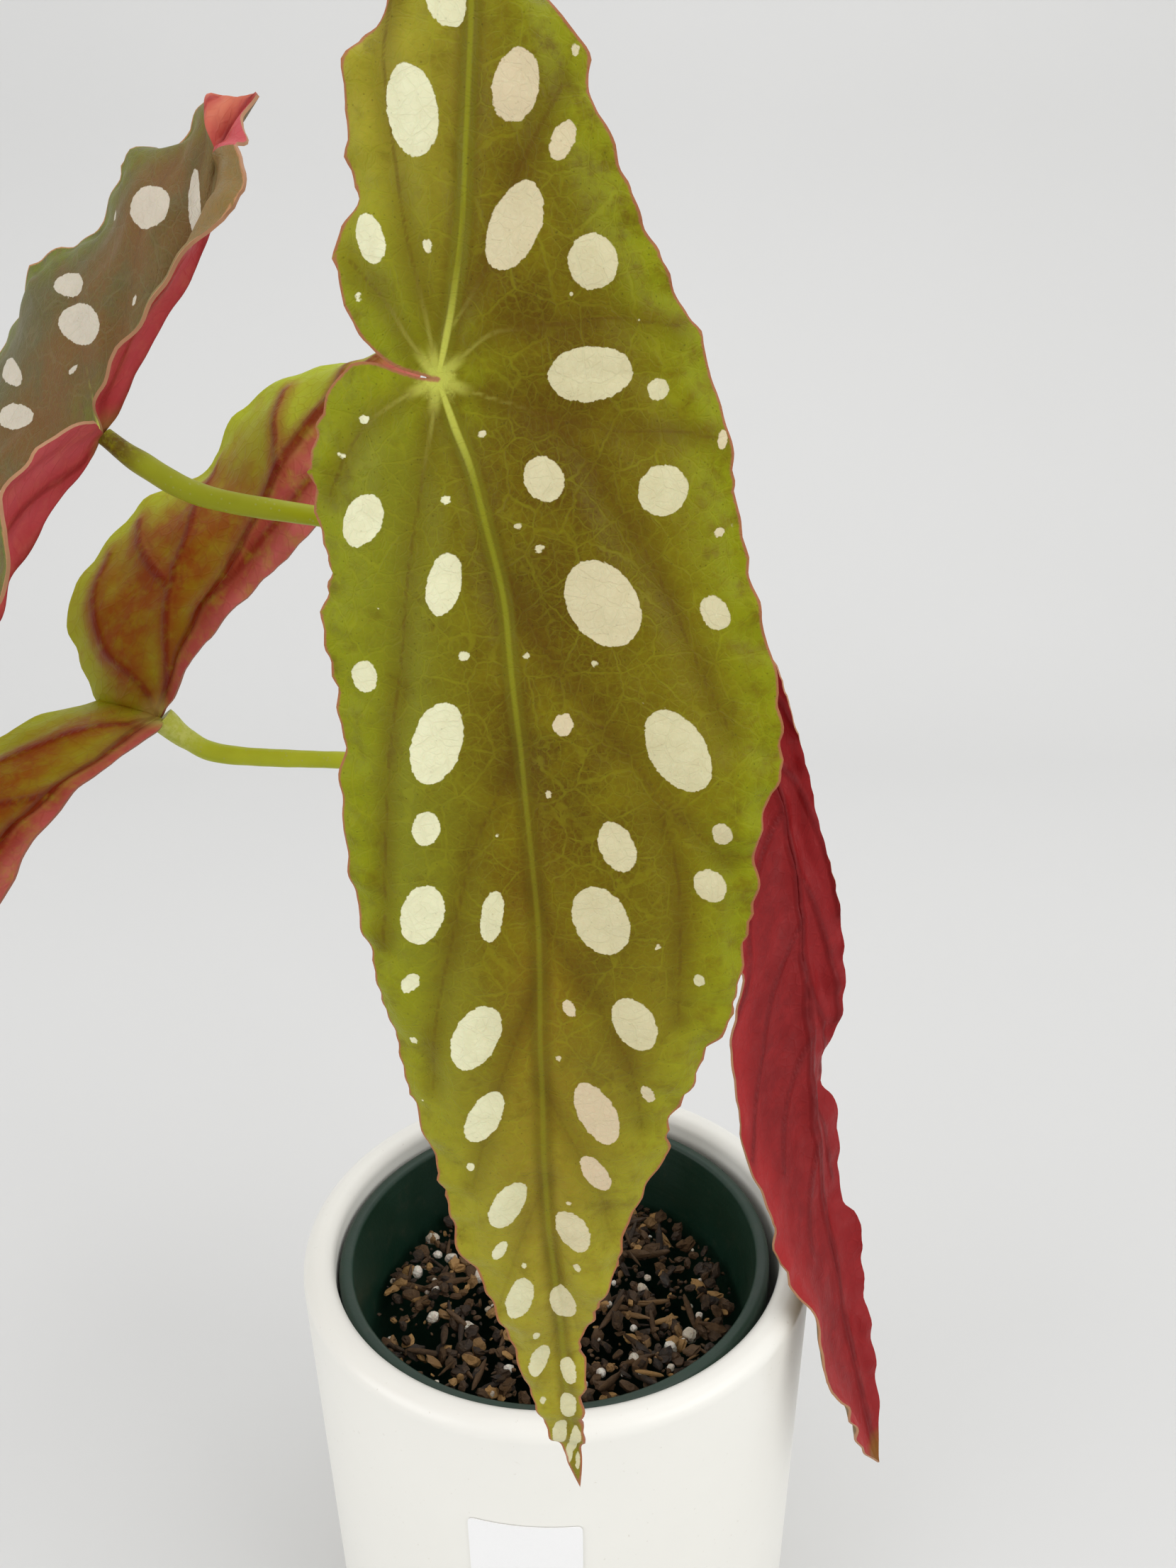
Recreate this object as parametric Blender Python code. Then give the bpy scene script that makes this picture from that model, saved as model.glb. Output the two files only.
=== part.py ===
"""Potted polka dot begonia: a cane plant in a nursery pot, standing in a ceramic pot cover.

Units are metres, +Z is up, and the origin is the middle of the ceramic pot's base.
Leaf outlines are given in millimetres from each leaf's own junction with its petiole.
"""
import math

import bmesh
import bpy
import numpy as np

# ---- ceramic pot cover ----
POT_HEIGHT = 0.112
POT_TOP_R = 0.059
POT_BASE_R = 0.0552
POT_WALL = 0.007
POT_FLOOR = 0.008
POT_RIM_ROUND = 0.0032
# ---- nursery pot ----
NURSERY_SHIFT_X = -0.0008
NURSERY_BASE_Z = 0.0083
NURSERY_TOP_Z = 0.1072
NURSERY_LIP_R = 0.0505
NURSERY_LIP_WIDTH = 0.0033
NURSERY_BODY_TOP_R = 0.0482
NURSERY_BASE_R = 0.0380
NURSERY_WALL = 0.0012
DRAIN_HOLE_R = 0.004
DRAIN_HOLE_RING_R = 0.024
DRAIN_HOLES = 5
# ---- soil ----
SOIL_EDGE_Z = 0.0872
SOIL_MOUND = 0.0030
FIT_GAP = 0.0003
# ---- label ----
LABEL_WIDTH = 0.023
LABEL_TOP_Z = 0.0873
LABEL_BOTTOM_Z = 0.0573
LABEL_THICK = 0.0003
LABEL_TURN = math.radians(-95.8)
# ---- plant ----
CANE_BURIED_Z = 0.058
CANE_BASE_R = 0.0044
LEAF_THICK = 0.0006
LOBE_ROWS = 8
BLADE_ROWS = 18
HALF_COLUMNS = 4

CANE_PATH = [(0, 8, 58), (0, 8, 96), (-0.5, 7, 130), (0.5, 6, 160), (-0.5, 5, 200), (0.5, 3, 232),
             (-0.5, 2, 262), (0, 0.5, 285), (0, 0, 301)]
CANE_RADII = [4.4, 4.4, 4.1, 4.0, 3.8, 3.5, 3.2, 2.9, 2.2]
CANE_NODES = (112, 139, 168, 198, 230, 256, 276, 291)

# Each leaf: junction, then six edge and midrib lines. "sinus" is the half with the notch.
FRONT_LEAF = dict(
    junction=(-10.1, -76.0, 300.4),
    lobe_spine=[(5, 54), (5.5, 42), (5, 33.5), (4.3, 25), (3.8, 17), (2.5, 10), (1.2, 4.5), (0, 0)],
    lobe_sinus=[(5, 54), (1, 51), (-3, 46), (-4.5, 41), (-8, 38), (-10, 33), (-10, 28.5), (-10.5, 25),
                (-9, 20.5), (-11.5, 17.5), (-12, 13.5), (-11, 8.5), (-9.5, 5.4), (-7.5, 3), (-5, 1.5),
                (-2.5, 0.7), (0, 0)],
    lobe_wide=[(5, 54), (9, 51.5), (12.5, 46.5), (15.5, 41), (19, 36.5), (19, 31.5), (21.5, 27),
               (24.5, 20.5), (27.5, 14.5), (30.5, 9), (33, 5), (34.3, 0)],
    blade_spine=[(0, 0), (1.8, -5), (4, -11), (6, -19.5), (7.5, -27), (8.3, -36), (9.3, -46), (10, -56),
                 (10.7, -66), (11.1, -76), (11, -92), (11, -110), (11.5, -125), (12.3, -138),
                 (13.2, -152), (14.2, -167), (15.6, -185.5)],
    blade_sinus=[(0, 0), (-2.5, -0.9), (-4.5, -0.7), (-6.5, 0), (-8.5, 0.6), (-10.5, 0.3), (-12.5, -1.2),
                 (-14.5, -4), (-16.3, -8), (-17.2, -13), (-17, -18), (-15.3, -24), (-16.4, -28),
                 (-16.2, -34), (-15.5, -43), (-15.6, -58), (-15, -69), (-13, -79), (-11, -91),
                 (-9.3, -102), (-6, -112), (-4.2, -122), (-3.3, -129), (-0.3, -135), (3.5, -147),
                 (6, -157), (9.5, -167), (12, -175), (15.6, -185.5)],
    blade_wide=[(34.3, 0), (36.5, -7), (37.5, -13), (38.8, -20), (41, -30), (43.5, -38), (44.5, -51),
                (41, -61), (42, -68.5), (40, -80), (36.5, -92), (32, -101), (29.5, -107), (30, -112),
                (26, -118), (23, -127), (22, -133), (19, -138), (18, -145), (16.3, -150), (17, -156),
                (15.8, -164), (16.3, -175), (15.6, -185.5)])

UPPER_LEFT_LEAF = dict(
    junction=(-68.3, -36.0, 293.1),
    lobe_spine=[(24.5, 14, 51), (20.5, 18, 47.5), (18.5, 16, 42), (18, 12, 36), (17, 8, 30),
                (14.5, 5, 24.5), (11.5, 3, 19), (8.5, 2, 14), (6, 1, 9.5), (3.5, 0, 5), (0, 0, 0)],
    lobe_sinus=[(24.5, 14, 51), (25, 10, 47), (24.5, 5, 42.5), (26, 0, 38.5), (27, -3, 35), (25.5, -6, 32),
                (22, -8, 28), (18.5, -10, 24.5), (15.5, -10, 20.5), (10, -10, 14.5), (7.5, -10, 11),
                (5, -9, 8), (2.5, -7, 6), (1, -4.5, 3.7), (0, 0, 0)],
    lobe_wide=[(24.5, 14, 51), (20.5, 19, 51.5), (16.5, 23, 52), (12.5, 27, 50), (8, 27, 46.5),
               (3, 27, 45), (-1.5, 26, 41), (-4.5, 27, 35.5), (-8.5, 28, 32.5), (-14.5, 29, 30),
               (-21, 31, 27.5)],
    blade_spine=[(0, 0, 0), (-5, -2, -6.5), (-8.5, -6, -12.5), (-12, -10, -18.5), (-16, -13, -27),
                 (-25, -17, -37), (-37, -22, -48), (-51, -27, -59), (-66, -32, -70),
                 (-81, -36, -81), (-95, -40, -94), (-104, -42, -103)],
    blade_sinus=[(0, 0, 0), (1.2, -4, 0.8), (2.5, -9, 1.5), (0.5, -12, 1.3), (-3, -16, -0.5),
                 (-5.5, -20, -4.5), (-6.5, -22, -10), (-7, -22, -15.5), (-11, -21, -23.5),
                 (-18, -26, -33), (-29, -31, -46), (-42, -36, -58), (-56, -41, -70),
                 (-71, -45, -81), (-86, -46, -91), (-97, -45, -99), (-104, -42, -103)],
    blade_wide=[(-21, 31, 27.5), (-23.5, 32, 23), (-26, 33, 18.5), (-30, 34, 14), (-36, 33, 6),
                (-44, 31, -3), (-54, 27, -13), (-65, 21, -24), (-76, 13, -37), (-86, 3, -51),
                (-94, -9, -66), (-100, -22, -82), (-103, -34, -95), (-104, -42, -103)])

LOWER_LEFT_LEAF = dict(
    junction=(-74.3, -11.0, 239.7),
    lobe_spine=[(55, 19, 70.5), (43.5, 17, 67.5), (34.5, 16, 65), (25.5, 15, 59), (19, 13, 51),
                (13, 11, 42.5), (9, 8, 34), (6, 5, 25), (3.5, 2, 14), (1.5, 1, 4.5), (0, 0, 0)],
    lobe_sinus=[(55, 19, 70.5), (49.5, 11, 57), (42, 7, 46), (32, 1, 35), (22, -2, 26), (16, -4, 19.5),
                (8, -4, 11), (4.5, -3, 4.8), (1.5, -1, 1.6), (0, 0, 0)],
    lobe_wide=[(55, 19, 70.5), (41, 25, 65), (33.5, 27, 64.5), (25.5, 29, 62), (18.5, 29, 59.5),
               (12, 29, 55), (8.5, 28, 49), (5.5, 27, 43.5), (-2, 25, 40.5), (-9, 22, 36.5),
               (-16, 18, 27.5), (-19, 15, 22.5), (-20.5, 12, 15.5), (-18, 10, 8), (-15.5, 9, 1)],
    blade_spine=[(0, 0, 0), (-3, -3, -0.8), (-7.5, -7, -2.5), (-12, -11, -5), (-18.5, -15, -10),
                 (-24.5, -19, -15), (-34, -24, -27), (-46, -29, -45), (-58, -33, -66),
                 (-69, -36, -88), (-77, -38, -108), (-83, -40, -125)],
    blade_sinus=[(0, 0, 0), (1, -2, -0.8), (1, -5, -1.5), (-1, -9, -2.7), (-5, -14, -5),
                 (-9.5, -18, -8), (-15.5, -24, -15), (-20.5, -31, -24.5), (-30, -37, -41),
                 (-43, -42, -62), (-56, -45, -83), (-69, -45, -103), (-78, -43, -117), (-83, -40, -125)],
    blade_wide=[(-15.5, 9, 1), (-19, 7, 0), (-25, 3, -0.5), (-31, -1, -3.5), (-42, -4, -10),
                (-56, -8, -23), (-69, -13, -40), (-79, -19, -60), (-85, -26, -82), (-86, -33, -103),
                (-83, -40, -125)])

RIGHT_LEAF = dict(
    junction=(30.0, 24.0, 250.0),
    lobe_spine=[(-13, 21, 40), (-11, 18, 32), (-8, 12, 20), (-4, 5, 9), (0, 0, 0)],
    lobe_sinus=[(-13, 21, 40), (-6, 22, 34), (-1, 19, 24), (3, 14, 14), (5.5, 9, 7), (4, 5, 3.2),
                (0, 0, 0)],
    lobe_wide=[(-13, 21, 40), (-22, 18, 34), (-27, 12, 22), (-27, 4, 8), (-22, -4, -5)],
    blade_spine=[(0, 0, 0), (10, -2, -14), (20, -6, -35), (24, -11, -55), (26, -17, -75),
                 (27.5, -23, -95), (28.5, -29, -113), (31, -35, -131), (34, -42, -148),
                 (37, -47, -163), (40, -52, -175), (41.5, -54, -179)],
    blade_sinus=[(0, 0, 0), (4.5, 3, -1.2), (9, 3.5, 0), (14, 0, -1), (19, -3, -8), (23, -5, -18),
                 (27, -6, -32), (29.5, -8, -43), (33, -10, -55), (36, -12, -70), (35.5, -15, -86),
                 (31, -18, -102), (35, -21, -109), (35.5, -27, -128), (39.5, -31, -133),
                 (40.5, -36, -148), (41.5, -40, -156), (42.5, -45, -168), (41.5, -54, -179)],
    blade_wide=[(-22, -4, -5), (-16, -14, -22), (-6, -22, -38), (4, -28, -54), (10, -33, -68),
                (8, -37, -79), (9, -43, -99), (16, -49, -118), (20, -54, -129), (25, -59, -138),
                (27, -61, -147), (31.5, -61, -157), (36, -58, -170), (41.5, -54, -179)])

PETIOLES = {
    "petiole_front": [(-0.3, -3.5, 284), (-2, -20, 293), (-6, -45, 301), (-9, -66, 302.5),
                      (-10.1, -74.9, 300.8)],
    "petiole_upper_left": [(-3.9, -0.7, 274), (-18, -16, 275), (-38, -30, 279.6), (-54, -34, 283.2),
                           (-63, -36, 288.7), (-67.6, -36.1, 292.4)],
    "petiole_lower_left": [(-3.8, 2.6, 229), (-22, -2, 227.5), (-42, -6, 229.2), (-63, -9, 231.5),
                           (-70, -10, 235), (-73.8, -10.9, 239.1)],
    "petiole_right": [(4.15, 3.7, 256), (12, 9, 260), (22, 17, 258), (29.2, 22.9, 250.8)],
}
PETIOLE_R = 1.9


def clear_scene():
    for item in list(bpy.data.objects):
        bpy.data.objects.remove(item, do_unlink=True)


def material(name, colour, roughness):
    made = bpy.data.materials.new(name)
    made.use_nodes = True
    shader = made.node_tree.nodes["Principled BSDF"]
    shader.inputs["Base Color"].default_value = (*colour, 1.0)
    shader.inputs["Roughness"].default_value = roughness
    return made


def add_object(name, mesh_data, surface):
    thing = bpy.data.objects.new(name, mesh_data)
    bpy.context.collection.objects.link(thing)
    mesh_data.materials.append(surface)
    return thing


def finish_bmesh(bm, name, surface):
    bmesh.ops.recalc_face_normals(bm, faces=bm.faces)
    mesh_data = bpy.data.meshes.new(name)
    bm.to_mesh(mesh_data)
    bm.free()
    return add_object(name, mesh_data, surface)


def smooth_line(points, count):
    """Even steps along a smooth curve through hand-set points."""
    p = np.array(points, dtype=float)
    padded = np.vstack([2 * p[0] - p[1], p, 2 * p[-1] - p[-2]])
    fine = []
    for i in range(len(p) - 1):
        a, b, c, d = padded[i:i + 4]
        for k in range(12):
            t = k / 12.0
            fine.append(0.5 * (2 * b + (c - a) * t + (2 * a - 5 * b + 4 * c - d) * t * t
                               + (3 * b - a - 3 * c + d) * t ** 3))
    fine.append(p[-1])
    fine = np.array(fine)
    run = np.concatenate([[0], np.cumsum(np.linalg.norm(np.diff(fine, axis=0), axis=1))])
    steps = np.linspace(0, run[-1], count + 1)
    return np.column_stack([np.interp(steps, run, fine[:, k]) for k in range(3)])


def lathe(name, profile, segments, surface, shift_x=0.0):
    """Closed solid of revolution: the profile starts and ends on the axis."""
    bm = bmesh.new()
    rings = []
    for radius, height in profile:
        if radius < 1e-9:
            rings.append([bm.verts.new((shift_x, 0, height))])
            continue
        rings.append([bm.verts.new((shift_x + radius * math.cos(2 * math.pi * k / segments),
                                    radius * math.sin(2 * math.pi * k / segments), height))
                      for k in range(segments)])
    for low, high in zip(rings, rings[1:]):
        for k in range(segments):
            nxt = (k + 1) % segments
            if len(low) == 1:
                bm.faces.new((low[0], high[k], high[nxt]))
            elif len(high) == 1:
                bm.faces.new((low[k], low[nxt], high[0]))
            else:
                bm.faces.new((low[k], low[nxt], high[nxt], high[k]))
    return finish_bmesh(bm, name, surface)


def arc(centre_r, centre_z, radius, start, end, steps):
    """Rounded corner of a profile, angles in degrees."""
    return [(centre_r + radius * math.cos(math.radians(start + (end - start) * k / steps)),
             centre_z + radius * math.sin(math.radians(start + (end - start) * k / steps)))
            for k in range(steps + 1)]


def ceramic_pot():
    slope = (POT_TOP_R - POT_BASE_R) / POT_HEIGHT
    inner_top = POT_TOP_R - POT_WALL
    inner_floor = inner_top - slope * (POT_HEIGHT - POT_FLOOR)
    profile = [(0, 0), (POT_BASE_R - 0.0025, 0)]
    profile += arc(POT_BASE_R - 0.0021, 0.0022, 0.0022, -80, -5, 3)
    profile += arc(POT_TOP_R - POT_RIM_ROUND, POT_HEIGHT - POT_RIM_ROUND, POT_RIM_ROUND, 0, 90, 5)
    profile += arc(inner_top + POT_RIM_ROUND, POT_HEIGHT - POT_RIM_ROUND, POT_RIM_ROUND, 90, 180, 5)
    profile += arc(inner_floor - 0.004, POT_FLOOR + 0.004, 0.004, 0, -90, 3)
    profile += [(0, POT_FLOOR)]
    return lathe("ceramic_pot", profile, 64, material("ceramic_pot", (0.78, 0.77, 0.74), 0.35))


def drain_cutters():
    cutters = []
    for k in range(DRAIN_HOLES):
        turn = 2 * math.pi * k / DRAIN_HOLES + 0.3
        bpy.ops.mesh.primitive_cylinder_add(
            vertices=20, radius=DRAIN_HOLE_R, depth=0.012,
            location=(NURSERY_SHIFT_X + DRAIN_HOLE_RING_R * math.cos(turn),
                      DRAIN_HOLE_RING_R * math.sin(turn), NURSERY_BASE_Z))
        cutters.append(bpy.context.object)
    return cutters


def cut(target, cutter):
    cutter.hide_render = True
    cutter.display_type = "WIRE"
    step = target.modifiers.new("cut_" + cutter.name, "BOOLEAN")
    step.operation = "DIFFERENCE"
    step.solver = "EXACT"
    step.object = cutter


def nursery_inner_radius(height):
    part = (height - NURSERY_BASE_Z) / (NURSERY_TOP_Z - NURSERY_BASE_Z)
    return NURSERY_BASE_R + (NURSERY_BODY_TOP_R - NURSERY_BASE_R) * part - NURSERY_WALL


def nursery_pot():
    lip_low = NURSERY_TOP_Z - 0.0075
    floor_z = NURSERY_BASE_Z + NURSERY_WALL
    under_lip = nursery_inner_radius(lip_low) + NURSERY_WALL
    profile = [(0, NURSERY_BASE_Z), (NURSERY_BASE_R - 0.001, NURSERY_BASE_Z),
               (NURSERY_BASE_R, NURSERY_BASE_Z + 0.001), (under_lip, lip_low),
               (NURSERY_LIP_R - 0.0004, lip_low), (NURSERY_LIP_R, lip_low + 0.0005)]
    profile += arc(NURSERY_LIP_R - 0.0012, NURSERY_TOP_Z - 0.0012, 0.0012, 0, 90, 3)
    profile += arc(NURSERY_LIP_R - NURSERY_LIP_WIDTH + 0.001, NURSERY_TOP_Z - 0.001, 0.001, 90, 180, 3)
    profile += [(nursery_inner_radius(lip_low), lip_low), (nursery_inner_radius(floor_z), floor_z),
                (0, floor_z)]
    pot = lathe("nursery_pot", profile, 64, material("nursery_pot", (0.03, 0.05, 0.04), 0.45),
                NURSERY_SHIFT_X)
    for cutter in drain_cutters():
        cut(pot, cutter)
    return pot


def soil_height(radius, turn, outer):
    k = radius / outer
    lumps = 0.0009 * math.sin(5 * turn + 9 * k) + 0.0008 * math.sin(3 * turn - 14 * k + 1.3)
    return SOIL_EDGE_Z + SOIL_MOUND * (1 - k * k) + lumps * math.sin(math.pi * k)


def potting_soil():
    segments, rings = 48, 9
    outer = nursery_inner_radius(SOIL_EDGE_Z) - FIT_GAP - 0.0002
    floor_z = NURSERY_BASE_Z + NURSERY_WALL + FIT_GAP
    floor_r = nursery_inner_radius(floor_z) - FIT_GAP - 0.0002
    bm = bmesh.new()
    loops = []
    for ring in range(1, rings + 1):
        r = outer * ring / rings
        loops.append([bm.verts.new((NURSERY_SHIFT_X + r * math.cos(a), r * math.sin(a),
                                    soil_height(r, a, outer)))
                      for a in (2 * math.pi * k / segments for k in range(segments))])
    loops.append([bm.verts.new((NURSERY_SHIFT_X + floor_r * math.cos(a), floor_r * math.sin(a), floor_z))
                  for a in (2 * math.pi * k / segments for k in range(segments))])
    top = bm.verts.new((NURSERY_SHIFT_X, 0, soil_height(0, 0, outer)))
    bottom = bm.verts.new((NURSERY_SHIFT_X, 0, floor_z))
    for k in range(segments):
        nxt = (k + 1) % segments
        bm.faces.new((top, loops[0][k], loops[0][nxt]))
        bm.faces.new((bottom, loops[-1][nxt], loops[-1][k]))
        for inner, outer_loop in zip(loops, loops[1:]):
            bm.faces.new((inner[k], outer_loop[k], outer_loop[nxt], inner[nxt]))
    soil = finish_bmesh(bm, "potting_soil", material("potting_soil", (0.07, 0.045, 0.03), 0.95))
    x, y, _ = CANE_PATH[0]
    bpy.ops.mesh.primitive_cylinder_add(vertices=32, radius=CANE_BASE_R + 0.0004, depth=0.06,
                                        location=(x / 1000, y / 1000,
                                                  CANE_BURIED_Z - FIT_GAP + 0.03))
    cut(soil, bpy.context.object)
    return soil


def pot_label():
    """Blank paper sticker, bent round the pot's front."""
    slope = (POT_TOP_R - POT_BASE_R) / POT_HEIGHT
    columns, rows = 12, 4
    half_turn = LABEL_WIDTH / 2 / 0.058
    bm = bmesh.new()
    faces = []
    for lift in (0.0004, 0.0004 + LABEL_THICK):
        grid = []
        for j in range(rows + 1):
            z = LABEL_BOTTOM_Z + (LABEL_TOP_Z - LABEL_BOTTOM_Z) * j / rows
            r = POT_BASE_R + slope * z + lift
            grid.append([bm.verts.new((r * math.cos(LABEL_TURN + half_turn * (2 * i / columns - 1)),
                                       r * math.sin(LABEL_TURN + half_turn * (2 * i / columns - 1)), z))
                         for i in range(columns + 1)])
        faces.append(grid)
    back, front = faces
    for j in range(rows):
        for i in range(columns):
            bm.faces.new((back[j][i], back[j + 1][i], back[j + 1][i + 1], back[j][i + 1]))
            bm.faces.new((front[j][i], front[j][i + 1], front[j + 1][i + 1], front[j + 1][i]))
    for i in range(columns):
        for j in (0, rows):
            bm.faces.new((back[j][i], back[j][i + 1], front[j][i + 1], front[j][i]))
    for j in range(rows):
        for i in (0, columns):
            bm.faces.new((back[j][i], back[j + 1][i], front[j + 1][i], front[j][i]))
    return finish_bmesh(bm, "pot_label", material("pot_label", (0.85, 0.86, 0.87), 0.6))


def tube(name, line, radii, sides, surface):
    """Round stem along a line in millimetres."""
    bm = bmesh.new()
    loops = []
    guide = np.array([0.31, 0.17, 0.93])
    for i, centre in enumerate(line):
        ahead = line[min(i + 1, len(line) - 1)] - line[max(i - 1, 0)]
        ahead = ahead / np.linalg.norm(ahead)
        side = guide - ahead * (guide @ ahead)
        if np.linalg.norm(side) < 0.3:
            side = np.array([1.0, 0, 0]) - ahead * ahead[0]
        side = side / np.linalg.norm(side)
        up = np.cross(ahead, side)
        guide = side
        loops.append([bm.verts.new(tuple((centre + radii[i] * (math.cos(a) * side + math.sin(a) * up))
                                         / 1000.0))
                      for a in (2 * math.pi * k / sides for k in range(sides))])
    for low, high in zip(loops, loops[1:]):
        for k in range(sides):
            nxt = (k + 1) % sides
            bm.faces.new((low[k], low[nxt], high[nxt], high[k]))
    bm.faces.new(loops[0][::-1])
    bm.faces.new(loops[-1])
    return finish_bmesh(bm, name, surface)


def main_cane():
    line = smooth_line(CANE_PATH, 72)
    along = np.linspace(0, len(CANE_RADII) - 1, len(line))
    radii = np.interp(along, np.arange(len(CANE_RADII)), CANE_RADII)
    for height in CANE_NODES:
        radii = radii + 0.75 * np.exp(-((line[:, 2] - height) / 2.6) ** 2)
    return tube("main_cane", line, radii, 14, material("main_cane", (0.22, 0.26, 0.10), 0.55))


def growing_tip():
    line = smooth_line([(0, -0.1, 301.55), (0.4, -1.0, 308), (0.2, -2.2, 318), (-1, -3.6, 330)], 14)
    k = np.linspace(0, 1, len(line))
    radii = 0.35 + 3.0 * np.sin(np.pi * np.clip(k * 0.9 + 0.12, 0, 1)) ** 0.8
    return tube("growing_tip", line, radii, 14, material("growing_tip", (0.33, 0.33, 0.12), 0.5))


def petioles():
    surface = material("petiole", (0.36, 0.40, 0.15), 0.5)
    for name, path in PETIOLES.items():
        line = smooth_line(path, 22)
        k = np.linspace(0, 1, len(line))
        radii = PETIOLE_R * (1.12 - 0.22 * np.sin(np.pi * k)) * (1 - 0.35 * np.clip(k * 8 - 7, 0, 1))
        tube(name, line, radii, 14, surface)


def hang_front(points):
    """Give the front leaf its depth: tip and lobe curl back, both halves fall back from the midrib."""
    spine = np.array(FRONT_LEAF["lobe_spine"] + FRONT_LEAF["blade_spine"][1:])
    placed = []
    for x, z in points:
        mid = np.interp(-z, -spine[:, 1], spine[:, 0])
        if z > 0:
            bow = 10 * (z / 65.0) ** 2
        else:
            k = min(-z / 184.0, 1)
            bow = 3 * k - 8 * math.sin(math.pi * k ** 0.9)
        placed.append((x, bow + (0.16 if x > mid else 0.20) * abs(x - mid), z))
    return placed


def half_sheet(spine, edge, columns, puff):
    """Rows of points from the midrib out to the edge, puffed up between them."""
    across = edge - spine
    ahead = np.gradient(spine, axis=0)
    rise = np.cross(across, ahead)
    length = np.linalg.norm(rise, axis=1, keepdims=True)
    rise = rise / np.maximum(length, 1e-6) * (length > 1e-3)
    width = np.linalg.norm(across, axis=1, keepdims=True)
    rows = []
    for c in range(columns + 1):
        u = c / columns
        rows.append(spine + across * u + rise * width * puff * math.sin(math.pi * u))
    return np.stack(rows, axis=1)


def sheet_faces(bm, grid):
    made = [[bm.verts.new(tuple(p / 1000.0)) for p in row] for row in grid]
    for low, high in zip(made, made[1:]):
        for k in range(len(low) - 1):
            bm.faces.new((low[k], low[k + 1], high[k + 1], high[k]))


def blade(name, leaf, colour, side_sign):
    """Thin closed leaf: two lobes, midrib crease, and a notch cut in to the junction."""
    corner = np.array(leaf["junction"])
    lines = {}
    for key in ("lobe_spine", "lobe_sinus", "lobe_wide", "blade_spine", "blade_sinus", "blade_wide"):
        points = leaf[key]
        if len(points[0]) == 2:
            points = hang_front(points)
        lines[key] = smooth_line(points, LOBE_ROWS if key.startswith("lobe") else BLADE_ROWS) + corner
    bm = bmesh.new()
    for part in ("lobe", "blade"):
        sheet_faces(bm, half_sheet(lines[part + "_spine"], lines[part + "_sinus"], HALF_COLUMNS,
                                   0.06 * side_sign))
    spine = np.vstack([lines["lobe_spine"], lines["blade_spine"][1:]])
    edge = np.vstack([lines["lobe_wide"], lines["blade_wide"][1:]])
    sheet_faces(bm, half_sheet(spine, edge, HALF_COLUMNS, -0.06 * side_sign)[:, ::-1])
    bmesh.ops.remove_doubles(bm, verts=bm.verts, dist=2e-5)
    bmesh.ops.dissolve_degenerate(bm, edges=bm.edges, dist=1e-6)
    bmesh.ops.recalc_face_normals(bm, faces=bm.faces)
    thicken(bm)
    return finish_bmesh(bm, name, material(name, colour, 0.45))


def thicken(bm):
    """Turn an open sheet into a closed skin of even thickness."""
    bm.normal_update()
    sheet = list(bm.faces)
    rims = [(e.verts[0], e.verts[1]) for e in bm.edges if e.is_boundary]
    offset = {v: v.normal * (LEAF_THICK / 2) for v in bm.verts}
    twin = {v: bm.verts.new(v.co - offset[v]) for v in list(bm.verts)}
    for v, move in offset.items():
        v.co += move
    for face in sheet:
        bm.faces.new([twin[v] for v in reversed(face.verts)])
    for a, b in rims:
        bm.faces.new((a, b, twin[b], twin[a]))


def build():
    clear_scene()
    ceramic_pot()
    nursery_pot()
    potting_soil()
    pot_label()
    main_cane()
    growing_tip()
    petioles()
    blade("blade_front", FRONT_LEAF, (0.16, 0.24, 0.05), 1)
    blade("blade_upper_left", UPPER_LEFT_LEAF, (0.15, 0.2, 0.08), -1)
    blade("blade_lower_left", LOWER_LEFT_LEAF, (0.3, 0.32, 0.06), -1)
    blade("blade_right", RIGHT_LEAF, (0.28, 0.05, 0.05), 1)


build()
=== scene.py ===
import math
import random

import bpy
import numpy as np
from mathutils import Euler, Matrix, Vector


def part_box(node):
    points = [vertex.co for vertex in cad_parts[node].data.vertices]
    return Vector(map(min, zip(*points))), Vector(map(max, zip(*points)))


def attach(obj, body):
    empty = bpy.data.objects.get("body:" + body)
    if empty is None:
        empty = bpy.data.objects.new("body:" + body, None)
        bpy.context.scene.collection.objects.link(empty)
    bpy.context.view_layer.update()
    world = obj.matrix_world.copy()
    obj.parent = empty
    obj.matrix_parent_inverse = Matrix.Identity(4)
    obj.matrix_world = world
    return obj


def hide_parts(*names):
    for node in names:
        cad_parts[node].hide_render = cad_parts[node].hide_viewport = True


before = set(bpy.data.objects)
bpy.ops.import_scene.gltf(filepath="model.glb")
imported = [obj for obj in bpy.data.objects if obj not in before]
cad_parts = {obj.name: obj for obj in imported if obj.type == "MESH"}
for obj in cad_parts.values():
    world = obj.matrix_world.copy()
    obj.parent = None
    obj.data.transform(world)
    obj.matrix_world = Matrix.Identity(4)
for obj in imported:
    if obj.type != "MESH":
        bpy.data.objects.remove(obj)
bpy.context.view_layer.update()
print("frame loaded:", len(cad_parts), "nodes")


# small helpers
def clearSelection():
    if bpy.context.mode != "OBJECT":
        bpy.ops.object.mode_set(mode="OBJECT")
    bpy.ops.object.select_all(action="DESELECT")


def pickOnly(thing):
    clearSelection()
    thing.select_set(True)
    bpy.context.view_layer.objects.active = thing


def applyPlace(thing):
    pickOnly(thing)
    bpy.ops.object.transform_apply(location=True, rotation=True, scale=True)


def applyAllModifiers(thing):
    pickOnly(thing)
    for step in list(thing.modifiers):
        bpy.ops.object.modifier_apply(modifier=step.name)


def smoothByAngle(thing, degrees):
    pickOnly(thing)
    bpy.ops.object.shade_smooth_by_angle(angle=math.radians(degrees))


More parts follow.
